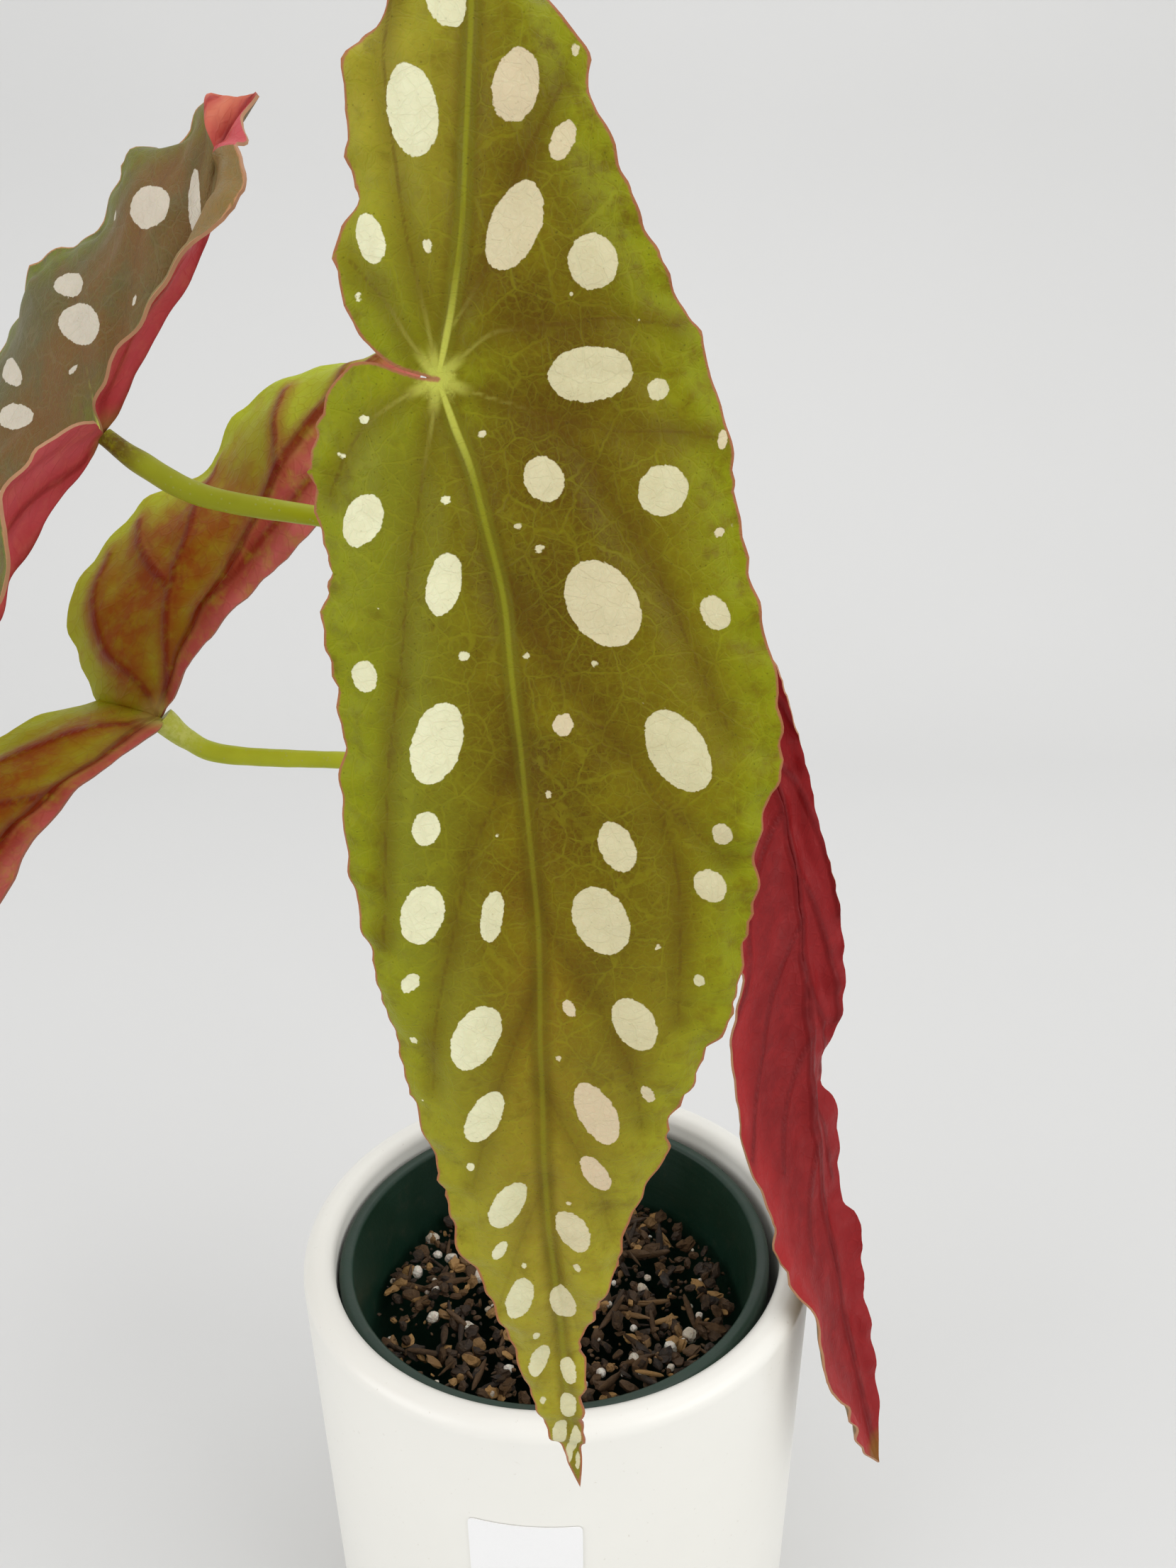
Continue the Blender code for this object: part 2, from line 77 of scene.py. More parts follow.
def standFor(thing, name, node, surfaces=()):
    # name the finished piece, dress it, and put it in the place of its solid
    thing.name = name
    thing.data.name = name
    for surface in surfaces:
        thing.data.materials.append(surface)
    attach(thing, "root")
    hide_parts(node)
    return thing


def runOf(line):
    # how far along the line each of its points is
    return np.concatenate([[0], np.cumsum(np.linalg.norm(np.diff(line, axis=0), axis=1))])


def smoothLine(points, count):
    # even steps along a smooth curve through the points
    p = np.array(points, dtype=float)
    padded = np.vstack([2 * p[0] - p[1], p, 2 * p[-1] - p[-2]])
    fine = []
    for i in range(len(p) - 1):
        a, b, c, d = padded[i:i + 4]
        for k in range(24):
            t = k / 24.0
            fine.append(0.5 * (2 * b + (c - a) * t + (2 * a - 5 * b + 4 * c - d) * t * t
                               + (3 * b - a - 3 * c + d) * t ** 3))
    fine.append(p[-1])
    fine = np.array(fine)
    run = runOf(fine)
    steps = np.linspace(0, run[-1], count + 1)
    return np.column_stack([np.interp(steps, run, fine[:, k]) for k in range(p.shape[1])])


def fade(value, low, high):
    # 0 at low, 1 at high, eased
    t = np.clip((value - low) / (high - low), 0, 1)
    return t * t * (3 - 2 * t)


# node helpers
class Wire:
    # a node's output, so that patterns can be added, taken away and multiplied
    def __init__(self, surface, socket):
        self.surface, self.socket = surface, socket

    def __add__(self, other):
        return self.surface.math("ADD", self, other)

    def __sub__(self, other):
        return self.surface.math("SUBTRACT", self, other)

    def __mul__(self, other):
        return self.surface.math("MULTIPLY", self, other)

    def __abs__(self):
        return self.surface.math("ABSOLUTE", self)


class Surface:
    # a material with its shader, and short ways to add nodes to it
    def __init__(self, name, **values):
        self.material = bpy.data.materials.new(name)
        self.material.use_nodes = True
        self.tree = self.material.node_tree
        self.shader = self.tree.nodes["Principled BSDF"]
        self.coords = self.tree.nodes.new("ShaderNodeTexCoord")
        for socket, value in values.items():
            self.shader.inputs[socket.replace("_", " ")].default_value = value

    def put(self, socket, value):
        if isinstance(value, Wire):
            value = value.socket
        if isinstance(value, bpy.types.NodeSocket):
            self.tree.links.new(value, socket)
        elif hasattr(socket.default_value, "__len__") and hasattr(value, "__len__") \
                and len(value) == 3 and len(socket.default_value) == 4:
            socket.default_value = (*value, 1.0)
        else:
            socket.default_value = value

    def attribute(self, name):
        node = self.tree.nodes.new("ShaderNodeAttribute")
        node.attribute_name = name
        return Wire(self, node.outputs["Fac"])

    def place(self, scale=(1, 1, 1), source="Object", turn=(0, 0, 0)):
        node = self.tree.nodes.new("ShaderNodeMapping")
        self.put(node.inputs["Vector"], self.coords.outputs[source])
        node.inputs["Scale"].default_value = scale
        node.inputs["Rotation"].default_value = turn
        return Wire(self, node.outputs["Vector"])

    def noise(self, vector, scale, detail=3.0, rough=0.55, warp=0.0):
        node = self.tree.nodes.new("ShaderNodeTexNoise")
        for key, value in (("Vector", vector), ("Scale", scale), ("Detail", detail),
                           ("Roughness", rough), ("Distortion", warp)):
            self.put(node.inputs[key], value)
        return Wire(self, node.outputs["Fac"])

    def cells(self, vector, scale, feature="F1"):
        node = self.tree.nodes.new("ShaderNodeTexVoronoi")
        node.feature = feature
        self.put(node.inputs["Vector"], vector)
        self.put(node.inputs["Scale"], scale)
        return Wire(self, node.outputs["Distance"])

    def math(self, operation, a, b=0.0):
        node = self.tree.nodes.new("ShaderNodeMath")
        node.operation = operation
        self.put(node.inputs[0], a)
        self.put(node.inputs[1], b)
        return Wire(self, node.outputs[0])

    def most(self, a, b):
        return self.math("MAXIMUM", a, b)

    def spread(self, value, low, high, outLow=0.0, outHigh=1.0):
        node = self.tree.nodes.new("ShaderNodeMapRange")
        node.interpolation_type = "SMOOTHSTEP"
        for key, number in (("Value", value), ("From Min", low), ("From Max", high),
                            ("To Min", outLow), ("To Max", outHigh)):
            self.put(node.inputs[key], number)
        return Wire(self, node.outputs["Result"])

    def mix(self, amount, first, second):
        node = self.tree.nodes.new("ShaderNodeMix")
        node.data_type = "RGBA"
        self.put(node.inputs[0], amount)
        self.put(node.inputs[6], first)
        self.put(node.inputs[7], second)
        return Wire(self, node.outputs[2])

    def bent(self, vector, scale, amount):
        # the same coordinates, pushed about a little
        swirl = self.tree.nodes.new("ShaderNodeTexNoise")
        self.put(swirl.inputs["Vector"], vector)
        swirl.inputs["Scale"].default_value = scale
        push = self.tree.nodes.new("ShaderNodeVectorMath")
        push.operation = "MULTIPLY_ADD"
        self.put(push.inputs[0], swirl.outputs["Color"])
        push.inputs[1].default_value = (amount, amount, amount)
        self.put(push.inputs[2], vector)
        return Wire(self, push.outputs[0])

    def bump(self, height, distance, strength):
        node = self.tree.nodes.new("ShaderNodeBump")
        node.inputs["Strength"].default_value = strength
        node.inputs["Distance"].default_value = distance
        self.put(node.inputs["Height"], height)
        return Wire(self, node.outputs["Normal"])

    def finish(self, colour=None, roughness=None, normal=None):
        if colour is not None:
            self.put(self.shader.inputs["Base Color"], colour)
        if roughness is not None:
            self.put(self.shader.inputs["Roughness"], roughness)
        if normal is not None:
            self.put(self.shader.inputs["Normal"], normal)
        return self.material


# camera, floor and light
view = {"place": (0.0081, -0.2309, 0.2993), "lookDown": 18.6, "lean": -0.56, "lens": 27.03}
studio = {"floor": (0.67, 0.67, 0.665), "size": 5, "middle": -1.2, "height": 2.6, "sweep": 0.6,
          "world": 0.72, "aim": (0, 0, 0.2)}
lamps = {"windowRight": {"place": (1.4, -0.9, 1.0), "size": (1.3, 1.1), "power": 11,
                         "colour": (1.0, 0.99, 0.97)},
         "skyAbove": {"place": (0.2, 0.2, 1.7), "size": (1.8, 1.8), "power": 10,
                      "colour": (1, 1, 1)},
         "fillLeft": {"place": (-1.4, -0.8, 0.7), "size": (1.2, 1.2), "power": 9,
                      "colour": (1, 1, 1)}}


def addCamera():
    clearSelection()
    bpy.ops.object.camera_add(location=view["place"])
    camera = bpy.context.object
    down, lean = math.radians(view["lookDown"]), math.radians(view["lean"])
    ahead = Vector((0, math.cos(down), -math.sin(down)))
    side, up = Vector((1, 0, 0)), Vector((0, math.sin(down), math.cos(down)))
    leanSide = side * math.cos(lean) + up * math.sin(lean)
    leanUp = up * math.cos(lean) - side * math.sin(lean)
    turn = Matrix((leanSide, leanUp, -ahead)).transposed()
    camera.matrix_world = Matrix.Translation(view["place"]) @ turn.to_4x4()
    camera.data.lens = view["lens"]
    camera.data.sensor_width = 36
    camera.data.clip_start = 0.01
    bpy.context.scene.camera = camera


def addFloor():
    # a pale floor that curves up into a backdrop
    clearSelection()
    bpy.ops.mesh.primitive_plane_add(size=studio["size"], location=(0, studio["middle"], 0))
    floor = bpy.context.object
    bpy.ops.object.mode_set(mode="EDIT")
    bpy.ops.mesh.select_all(action="DESELECT")
    bpy.ops.object.mode_set(mode="OBJECT")
    for edge in floor.data.edges:
        ends = [floor.data.vertices[i] for i in edge.vertices]
        if all(v.co.y > studio["size"] / 2 - 0.1 for v in ends):  # the back edge
            edge.select = True
            for v in ends:
                v.select = True
    bpy.ops.object.mode_set(mode="EDIT")
    bpy.ops.mesh.extrude_region_move(TRANSFORM_OT_translate={"value": (0, 0, studio["height"])})
    bpy.ops.object.mode_set(mode="OBJECT")
    sweep = floor.modifiers.new("sweep", "BEVEL")
    sweep.width = studio["sweep"]
    sweep.segments = 16
    sweep.angle_limit = math.radians(40)
    applyAllModifiers(floor)
    smoothByAngle(floor, 60)
    floor.name = "studio_floor"
    paint = Surface("studioFloor", Roughness=0.9)
    grain = paint.noise(paint.place(), 3.0, 2.0)
    floor.data.materials.append(paint.finish(paint.mix(grain, studio["floor"],
                                                       tuple(c * 0.97 for c in studio["floor"]))))


def addLight(name, look):
    clearSelection()
    bpy.ops.object.light_add(type="AREA", location=look["place"])
    lamp = bpy.context.object
    lamp.name = name
    lamp.data.shape = "RECTANGLE"
    lamp.data.size, lamp.data.size_y = look["size"]
    lamp.data.energy = look["power"]
    lamp.data.color = look["colour"]
    aim = Vector(studio["aim"]) - Vector(look["place"])
    lamp.rotation_euler = aim.to_track_quat("-Z", "Y").to_euler()


def lightStudio():
    world = bpy.context.scene.world or bpy.data.worlds.new("studio")
    bpy.context.scene.world = world
    world.use_nodes = True
    back = world.node_tree.nodes["Background"]
    back.inputs["Color"].default_value = (1, 1, 1, 1)
    back.inputs["Strength"].default_value = studio["world"]
    for name, look in lamps.items():
        addLight(name, look)
    bpy.context.scene.view_settings.view_transform = "Standard"
    bpy.context.scene.view_settings.look = "None"


addCamera()
addFloor()
lightStudio()
print("camera, floor and light set")


# turned pieces
def turnedSolid(outline, steps, centreX=0.0):
    # a disc, drawn out ring by ring along the outline, closed by the last ring
    clearSelection()
    lastRadius, lastHeight = outline[0]
    bpy.ops.mesh.primitive_circle_add(vertices=steps, radius=lastRadius, fill_type="NGON",
                                      location=(centreX, 0, lastHeight))
    thing = bpy.context.object
    bpy.ops.object.mode_set(mode="EDIT")
    bpy.ops.mesh.select_all(action="SELECT")
    for radius, height in outline[1:]:
        step = (0, 0, height - lastHeight)
        bpy.ops.mesh.extrude_region_move(TRANSFORM_OT_translate={"value": step})
        grow = radius / lastRadius
        bpy.ops.transform.resize(value=(grow, grow, 1), center_override=(centreX, 0, height))
        lastRadius, lastHeight = radius, height
    bpy.ops.mesh.select_all(action="SELECT")
    bpy.ops.mesh.normals_make_consistent(inside=False)
    bpy.ops.object.mode_set(mode="OBJECT")
    applyPlace(thing)
    return thing


def corner(centreRadius, centreHeight, radius, start, end, steps):
    turns = [math.radians(start + (end - start) * k / steps) for k in range(steps + 1)]
    return [(centreRadius + radius * math.cos(a),
             centreHeight + radius * math.sin(a)) for a in turns]


potCover = {"topRadius": 0.059, "baseRadius": 0.0552, "wall": 0.007, "floor": 0.008,
            "rimRound": 0.0032, "glaze": (0.88, 0.87, 0.815), "bareClay": (0.62, 0.57, 0.50)}


def glazeSurface():
    s = Surface("whiteGlaze", Coat_Weight=0.12, Coat_Roughness=0.2)
    place = s.place()
    cloud = s.noise(place, 34, 4)
    speck = s.spread(s.noise(place, 900, 2), 0.70, 0.78)
    colour = s.mix(cloud, potCover["glaze"], tuple(c * 0.955 for c in potCover["glaze"]))
    colour = s.mix(speck * 0.35, colour, (0.55, 0.5, 0.42))
    height = s.tree.nodes.new("ShaderNodeSeparateXYZ")
    s.put(height.inputs[0], s.coords.outputs["Object"])
    bare = s.spread(height.outputs["Z"], 0.0012, 0.0004)  # the unglazed foot
    colour = s.mix(bare, colour, potCover["bareClay"])
    gloss = s.spread(cloud, 0.2, 0.8, 0.3, 0.4) + bare * 0.45
    wave = s.noise(place, 60, 2) + s.noise(place, 420, 3) * 0.12
    return s.finish(colour, gloss, s.bump(wave, 0.0006, 0.35))


def addPotCover():
    low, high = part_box("ceramic_pot")
    tall, top, base = high.z, potCover["topRadius"], potCover["baseRadius"]
    slope = (top - base) / tall
    curl = potCover["rimRound"]
    innerTop = top - potCover["wall"]
    innerLow = innerTop - slope * (tall - potCover["floor"])
    outline = [(base - 0.0035, 0.0)]
    outline += corner(base - 0.0021, 0.0022, 0.0022, -88, -4, 8)
    outline += corner(top - curl, tall - curl, curl, 0, 90, 10)
    outline += corner(innerTop + curl, tall - curl, curl, 92, 180, 10)
    outline += corner(innerLow - 0.004, potCover["floor"] + 0.004, 0.004, 0, -90, 6)
    pot = turnedSolid(outline, 160)
    smoothByAngle(pot, 50)
    standFor(pot, "pot_cover", "ceramic_pot", [glazeSurface()])


sticker = {"width": 0.023, "turn": -95.8, "lift": 0.0002, "thick": 0.0002, "corner": 0.0012}


def paperSurface():
    s = Surface("labelPaper", Roughness=0.62)
    place = s.place()
    fibre = s.noise(place, 2400, 4, 0.7)
    tone = s.noise(place, 90, 2)
    colour = s.mix(fibre, (0.90, 0.90, 0.905), (0.95, 0.95, 0.95))
    colour = s.mix(tone * 0.25, colour, (0.78, 0.78, 0.78))
    return s.finish(colour, None, s.bump(fibre, 0.0001, 0.3))


def addSticker():
    # a flat grid with rounded corners, wrapped round the pot's side
    low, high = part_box("pot_label")
    tall = high.z - low.z
    clearSelection()
    bpy.ops.mesh.primitive_grid_add(x_subdivisions=36, y_subdivisions=40, size=1)
    label = bpy.context.object
    slope = (potCover["topRadius"] - potCover["baseRadius"]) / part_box("ceramic_pot")[1].z
    start, cornerRadius = math.radians(sticker["turn"]), sticker["corner"]
    for v in label.data.vertices:
        x, z = v.co.x * sticker["width"], v.co.y * tall
        overX = abs(x) - (sticker["width"] / 2 - cornerRadius)
        overZ = abs(z) - (tall / 2 - cornerRadius)
        if overX > 0 and overZ > 0 and math.hypot(overX, overZ) > cornerRadius:
            pull = cornerRadius / math.hypot(overX, overZ)
            x = math.copysign(sticker["width"] / 2 - cornerRadius + overX * pull, x)
            z = math.copysign(tall / 2 - cornerRadius + overZ * pull, z)
        z += (low.z + high.z) / 2
        radius = potCover["baseRadius"] + slope * z + sticker["lift"]
        turn = start + x / 0.058
        v.co = (radius * math.cos(turn), radius * math.sin(turn), z)
    skin = label.modifiers.new("paper", "SOLIDIFY")
    skin.thickness = sticker["thick"]
    skin.offset = 1
    applyAllModifiers(label)
    bpy.ops.object.mode_set(mode="EDIT")
    bpy.ops.mesh.select_all(action="SELECT")
    bpy.ops.mesh.normals_make_consistent(inside=False)
    bpy.ops.object.mode_set(mode="OBJECT")
    smoothByAngle(label, 40)
    standFor(label, "blank_label", "pot_label", [paperSurface()])


nurseryPot = {"shift": -0.0008, "baseRadius": 0.038, "bodyTop": 0.0482, "wall": 0.0012,
              "lip": 0.0505,
              "lipWidth": 0.0033, "lipDrop": 0.0075, "holes": 5, "holeRing": 0.024,
              "holeRadius": 0.004}


def nurseryPlastic():
    s = Surface("nurseryPlastic")
    place = s.place()
    cloud = s.noise(place, 45, 4)
    rings = s.noise(s.place((1, 1, 24)), 30, 2)  # faint rings left by the mould
    dust = s.spread(s.noise(place, 260, 5, 0.65), 0.52, 0.74)
    colour = s.mix(cloud, (0.005, 0.022, 0.012), (0.011, 0.042, 0.024))
    colour = s.mix(dust * 0.22, colour, (0.07, 0.07, 0.045))
    rough = s.spread(cloud, 0.3, 0.7, 0.34, 0.52)
    grain = rings * 0.6 + s.noise(place, 1500, 2) * 0.25
    return s.finish(colour, rough, s.bump(grain, 0.0003, 0.4))


def nurseryInside(height, low, high):
    part = (height - low) / (high - low)
    return nurseryPot["baseRadius"] + (nurseryPot["bodyTop"] - nurseryPot["baseRadius"]) * part \
        - nurseryPot["wall"]


def addNurseryPot():
    low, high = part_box("nursery_pot")
    n, lowZ, topZ = nurseryPot, low.z, high.z
    lipLow, floorZ = topZ - n["lipDrop"], lowZ + n["wall"]
    outline = [(n["baseRadius"] - 0.002, lowZ)]
    outline += corner(n["baseRadius"] - 0.001, lowZ + 0.001, 0.001, -80, 0, 4)
    outline += [(nurseryInside(lipLow, lowZ, topZ) + n["wall"], lipLow),
                (n["lip"] - 0.0005, lipLow)]
    outline += corner(n["lip"] - 0.0005, lipLow + 0.0005, 0.0005, -60, 0, 3)
    outline += corner(n["lip"] - 0.0013, topZ - 0.0013, 0.0013, 0, 90, 6)
    outline += corner(n["lip"] - n["lipWidth"] + 0.0012, topZ - 0.0012, 0.0012, 92, 180, 6)
    inside = (lipLow, topZ - 0.012, topZ - 0.03, floorZ + 0.001)
    outline += [(nurseryInside(z, lowZ, topZ), z) for z in inside]
    outline += [(nurseryInside(floorZ, lowZ, topZ) - 0.001, floorZ)]
    pot = turnedSolid(outline, 144, n["shift"])
    for k in range(n["holes"]):
        turn = 2 * math.pi * k / n["holes"] + 0.3
        clearSelection()
        bpy.ops.mesh.primitive_cylinder_add(
            vertices=32, radius=n["holeRadius"], depth=0.012,
            location=(n["shift"] + n["holeRing"] * math.cos(turn), n["holeRing"] * math.sin(turn),
                      lowZ))
        drill = bpy.context.object
        hole = pot.modifiers.new("drain", "BOOLEAN")
        hole.operation = "DIFFERENCE"
        hole.solver = "EXACT"
        hole.object = drill
        applyAllModifiers(pot)
        bpy.data.objects.remove(drill, do_unlink=True)
    smoothByAngle(pot, 40)
    standFor(pot, "inner_pot", "nursery_pot", [nurseryPlastic()])


addPotCover()
addSticker()
addNurseryPot()
print("pots and label made")


# soil
soil = {"mound": 0.0030, "cells": 150, "seed": 7, "edge": 0.0872, "crumb": 0.0035,
        "crumbHeight": 0.0026, "caneFoot": (0, 0.008), "caneKeepOut": 0.0062,
        # kind: shapes, slot of its material, how many, smallest and largest size
        "grains": {"bark": (3, 1, 1150, 0.0009, 0.0048), "perlite": (2, 2, 110, 0.0010, 0.0040),
                   "twig": (2, 1, 110, 0.004, 0.012)}}


def earthSurface():
    s = Surface("peat", Roughness=0.95)
    place = s.place()
    crumbs = s.noise(place, 420, 6, 0.7)
    patch = s.noise(place, 70, 3)
    colour = s.mix(s.spread(crumbs, 0.35, 0.7), (0.022, 0.011, 0.004), (0.13, 0.068, 0.022))
    colour = s.mix(patch * 0.5, colour, (0.04, 0.02, 0.007))
    return s.finish(colour, None, s.bump(crumbs, 0.0016, 0.9))


def barkSurface():
    s = Surface("barkChip", Roughness=0.82)
    tint = s.attribute("tint")
    place = s.place()
    grain = s.noise(s.place((1, 1, 3.2), turn=(0.5, 0.3, 0.9)), 520, 5, 0.7)
    colour = s.mix(s.spread(tint, 0.0, 0.70), (0.012, 0.006, 0.002), (0.075, 0.036, 0.010))
    colour = s.mix(s.spread(tint, 0.76, 0.96), colour, (0.36, 0.20, 0.065))
    colour = s.mix(s.spread(grain, 0.42, 0.72), colour, s.mix(0.25, colour, (0.20, 0.11, 0.04)))
    damp = s.spread(s.noise(place, 160, 2), 0.3, 0.7, 0.55, 0.95)
    return s.finish(colour, damp, s.bump(grain, 0.0006, 0.8))


def perliteSurface():
    s = Surface("perlite", Roughness=0.85, Subsurface_Weight=0.1, Subsurface_Scale=0.001)
    place = s.place()
    pores = s.cells(place, 1500)
    dirt = s.spread(s.noise(place, 300, 4, 0.7), 0.42, 0.72)
    colour = s.mix(s.attribute("tint"), (0.62, 0.54, 0.42), (0.85, 0.81, 0.72))
    colour = s.mix(dirt * 0.6, colour, (0.25, 0.15, 0.07))
    return s.finish(colour, None, s.bump(pores, 0.0004, 0.8))


def soilHeight(x, y, outer):
    k = min(math.hypot(x, y) / outer, 1.0)
    turn = math.atan2(y, x)
    lumps = 0.0009 * math.sin(5 * turn + 9 * k) + 0.0008 * math.sin(3 * turn - 14 * k + 1.3)
    return soil["edge"] + soil["mound"] * (1 - k * k) + lumps * math.sin(math.pi * k)


def grainShape(kind, seed):
    # one rough grain, about a unit across, knocked about
    clearSelection()
    bpy.ops.mesh.primitive_ico_sphere_add(subdivisions=2, radius=0.5)
    grain = bpy.context.object
    bpy.ops.object.mode_set(mode="EDIT")
    bpy.ops.mesh.select_all(action="SELECT")
    bpy.ops.transform.vertex_random(offset=0.20 if kind == "bark" else 0.10, seed=seed)
    if kind == "bark":
        bpy.ops.transform.resize(value=(1.0, 0.55 + 0.1 * (seed % 3), 0.42))
    elif kind == "twig":
        bpy.ops.transform.resize(value=(1.0, 0.16, 0.14))
    else:
        bpy.ops.transform.resize(value=(1.0, 0.88, 0.8))
    bpy.ops.object.mode_set(mode="OBJECT")
    applyPlace(grain)
    smoothByAngle(grain, 22 if kind == "bark" else 50)
    return grain


def addSoil():
    low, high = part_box("potting_soil")
    outer = (high.x - low.x) / 2 + 0.0004
    middleX = (high.x + low.x) / 2
    rng = random.Random(soil["seed"])
    clearSelection()
    bpy.ops.mesh.primitive_grid_add(x_subdivisions=soil["cells"], y_subdivisions=soil["cells"],
                                    size=2.02 * outer, location=(0, 0, 0))
    ground = bpy.context.object
    for v in ground.data.vertices:
        v.select = math.hypot(v.co.x, v.co.y) > outer * 1.004
    bpy.ops.object.mode_set(mode="EDIT")
    bpy.ops.mesh.delete(type="VERT")
    bpy.ops.mesh.select_all(action="DESELECT")
    bpy.ops.mesh.select_non_manifold()
    bpy.ops.object.mode_set(mode="OBJECT")
    for v in ground.data.vertices:
        if v.select:
            k = outer / max(math.hypot(v.co.x, v.co.y), 1e-9)
            v.co.x, v.co.y = v.co.x * k, v.co.y * k
        v.co.z = soilHeight(v.co.x, v.co.y, outer)
        v.co.x += middleX
    rough = bpy.data.textures.new("crumb", "CLOUDS")
    rough.noise_scale = soil["crumb"]
    rough.noise_depth = 3
    bumps = ground.modifiers.new("crumb", "DISPLACE")
    bumps.texture = rough
    bumps.texture_coords = "LOCAL"
    bumps.strength = soil["crumbHeight"]
    bumps.mid_level = 0.62
    applyAllModifiers(ground)
    bpy.ops.object.mode_set(mode="EDIT")
    bpy.ops.mesh.select_all(action="DESELECT")
    bpy.ops.mesh.select_non_manifold()
    foot = (nurseryInside(low.z, *[c.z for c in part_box("nursery_pot")]) - 0.0006) / outer
    bpy.ops.mesh.extrude_region_move(TRANSFORM_OT_translate={"value": (0, 0, low.z - soil["edge"])})
    bpy.ops.transform.resize(value=(foot, foot, 0), center_override=(middleX, 0, low.z))
    bpy.ops.mesh.edge_face_add()
    bpy.ops.mesh.select_all(action="SELECT")
    bpy.ops.mesh.normals_make_consistent(inside=False)
    bpy.ops.object.mode_set(mode="OBJECT")
    surfaces = [earthSurface(), barkSurface(), perliteSurface()]
    for surface in surfaces:
        ground.data.materials.append(surface)
    grains = []
    caneFoot = Vector(soil["caneFoot"])
    for kind, (shapes, slotIndex, count, smallest, largest) in soil["grains"].items():
        models = [grainShape(kind, 3 * k + 1) for k in range(shapes)]
        for model in models:
            for surface in surfaces:
                model.data.materials.append(surface)
            for face in model.data.polygons:
                face.material_index = slotIndex
        for k in range(count):
            size = smallest + (largest - smallest) * rng.random() ** 1.8  # mostly small ones
            while True:
                turn = rng.random() * 2 * math.pi
                r = math.sqrt(rng.random()) * (outer - 0.0012 - size * 0.45)
                x, y = r * math.cos(turn), r * math.sin(turn)
                if (Vector((x + middleX, y)) - caneFoot).length > soil["caneKeepOut"] + size * 0.3:
                    break
            grain = rng.choice(models).copy()
            grain.data = grain.data.copy()
            bpy.context.collection.objects.link(grain)
            tilt = 0.5 if kind == "bark" else 0.3
            grain.matrix_world = (
                Matrix.Translation((x + middleX, y,
                                    soilHeight(x, y, outer) + size * rng.uniform(-0.02, 0.2)))
                @ Euler((rng.gauss(0, tilt), rng.gauss(0, tilt),
                         rng.random() * 6.28)).to_matrix().to_4x4()
                @ Matrix.Diagonal((size, size * rng.uniform(0.8, 1.2), size * rng.uniform(0.8, 1.3),
                                   1)))
            tint = grain.data.attributes.new("tint", "FLOAT", "POINT")
            tint.data.foreach_set("value", [rng.random()] * len(grain.data.vertices))
            grains.append(grain)
        for model in models:
            bpy.data.objects.remove(model, do_unlink=True)
    clearSelection()
    for grain in grains:
        grain.select_set(True)
    ground.select_set(True)
    bpy.context.view_layer.objects.active = ground
    bpy.ops.object.join()
    ground = bpy.context.object
    applyPlace(ground)
    standFor(ground, "soil_bed", "potting_soil")


addSoil()
print("soil laid")


# stems
canePath = [(0, 8, 58), (0, 8, 96), (-0.5, 7, 130), (0.5, 6, 160), (-0.5, 5, 200), (0.5, 3, 232),
            (-0.5, 2, 262), (0, 0.5, 285), (0, 0, 301)]
cane = {"radii": [4.4, 4.4, 4.1, 4.0, 3.8, 3.5, 3.2, 2.9, 2.2],
        "nodes": (112, 139, 168, 198, 230, 256, 276, 291),
        "swell": 0.75, "young": (0.22, 0.25, 0.045), "old": (0.17, 0.13, 0.055),
        "scar": (0.075, 0.045, 0.022)}

stalks = {"radius": 1.9, "green": (0.39, 0.42, 0.010), "young": (0.52, 0.57, 0.022),
          "cork": (0.13, 0.062, 0.010),
          "pale": (0.62, 0.64, 0.16)}
stalkPaths = {
    "petiole_front": [(-0.3, -2.4, 283.6), (-2, -20, 293), (-6, -45, 301), (-9, -66, 302.5),
                      (-10.1, -75.7, 300.6)],
    "petiole_upper_left": [(-2.4, -0.4, 274), (-18, -16, 275), (-38, -30, 279.6), (-54, -34, 283.2),
                           (-63, -36, 288.7), (-68, -36.1, 292.7)],
    "petiole_lower_left": [(-2.4, 2.9, 229), (-22, -2, 227.5), (-42, -6, 229.2), (-63, -9, 231.5),
                           (-70, -10, 235), (-74.1, -11, 239.4)],
    "petiole_right": [(2.4, 3.2, 255.6), (12, 9, 260), (22, 17, 258), (29.6, 23.5, 250.4)]}


# for each stalk: how much it swells at the blade, and the share of it that is scabbed there
stalkEnds = {"petiole_front": (-0.30, 0.05), "petiole_upper_left": (-0.30, 0.10),
             "petiole_lower_left": (0.20, 0.14), "petiole_right": (-0.30, 0.05)}


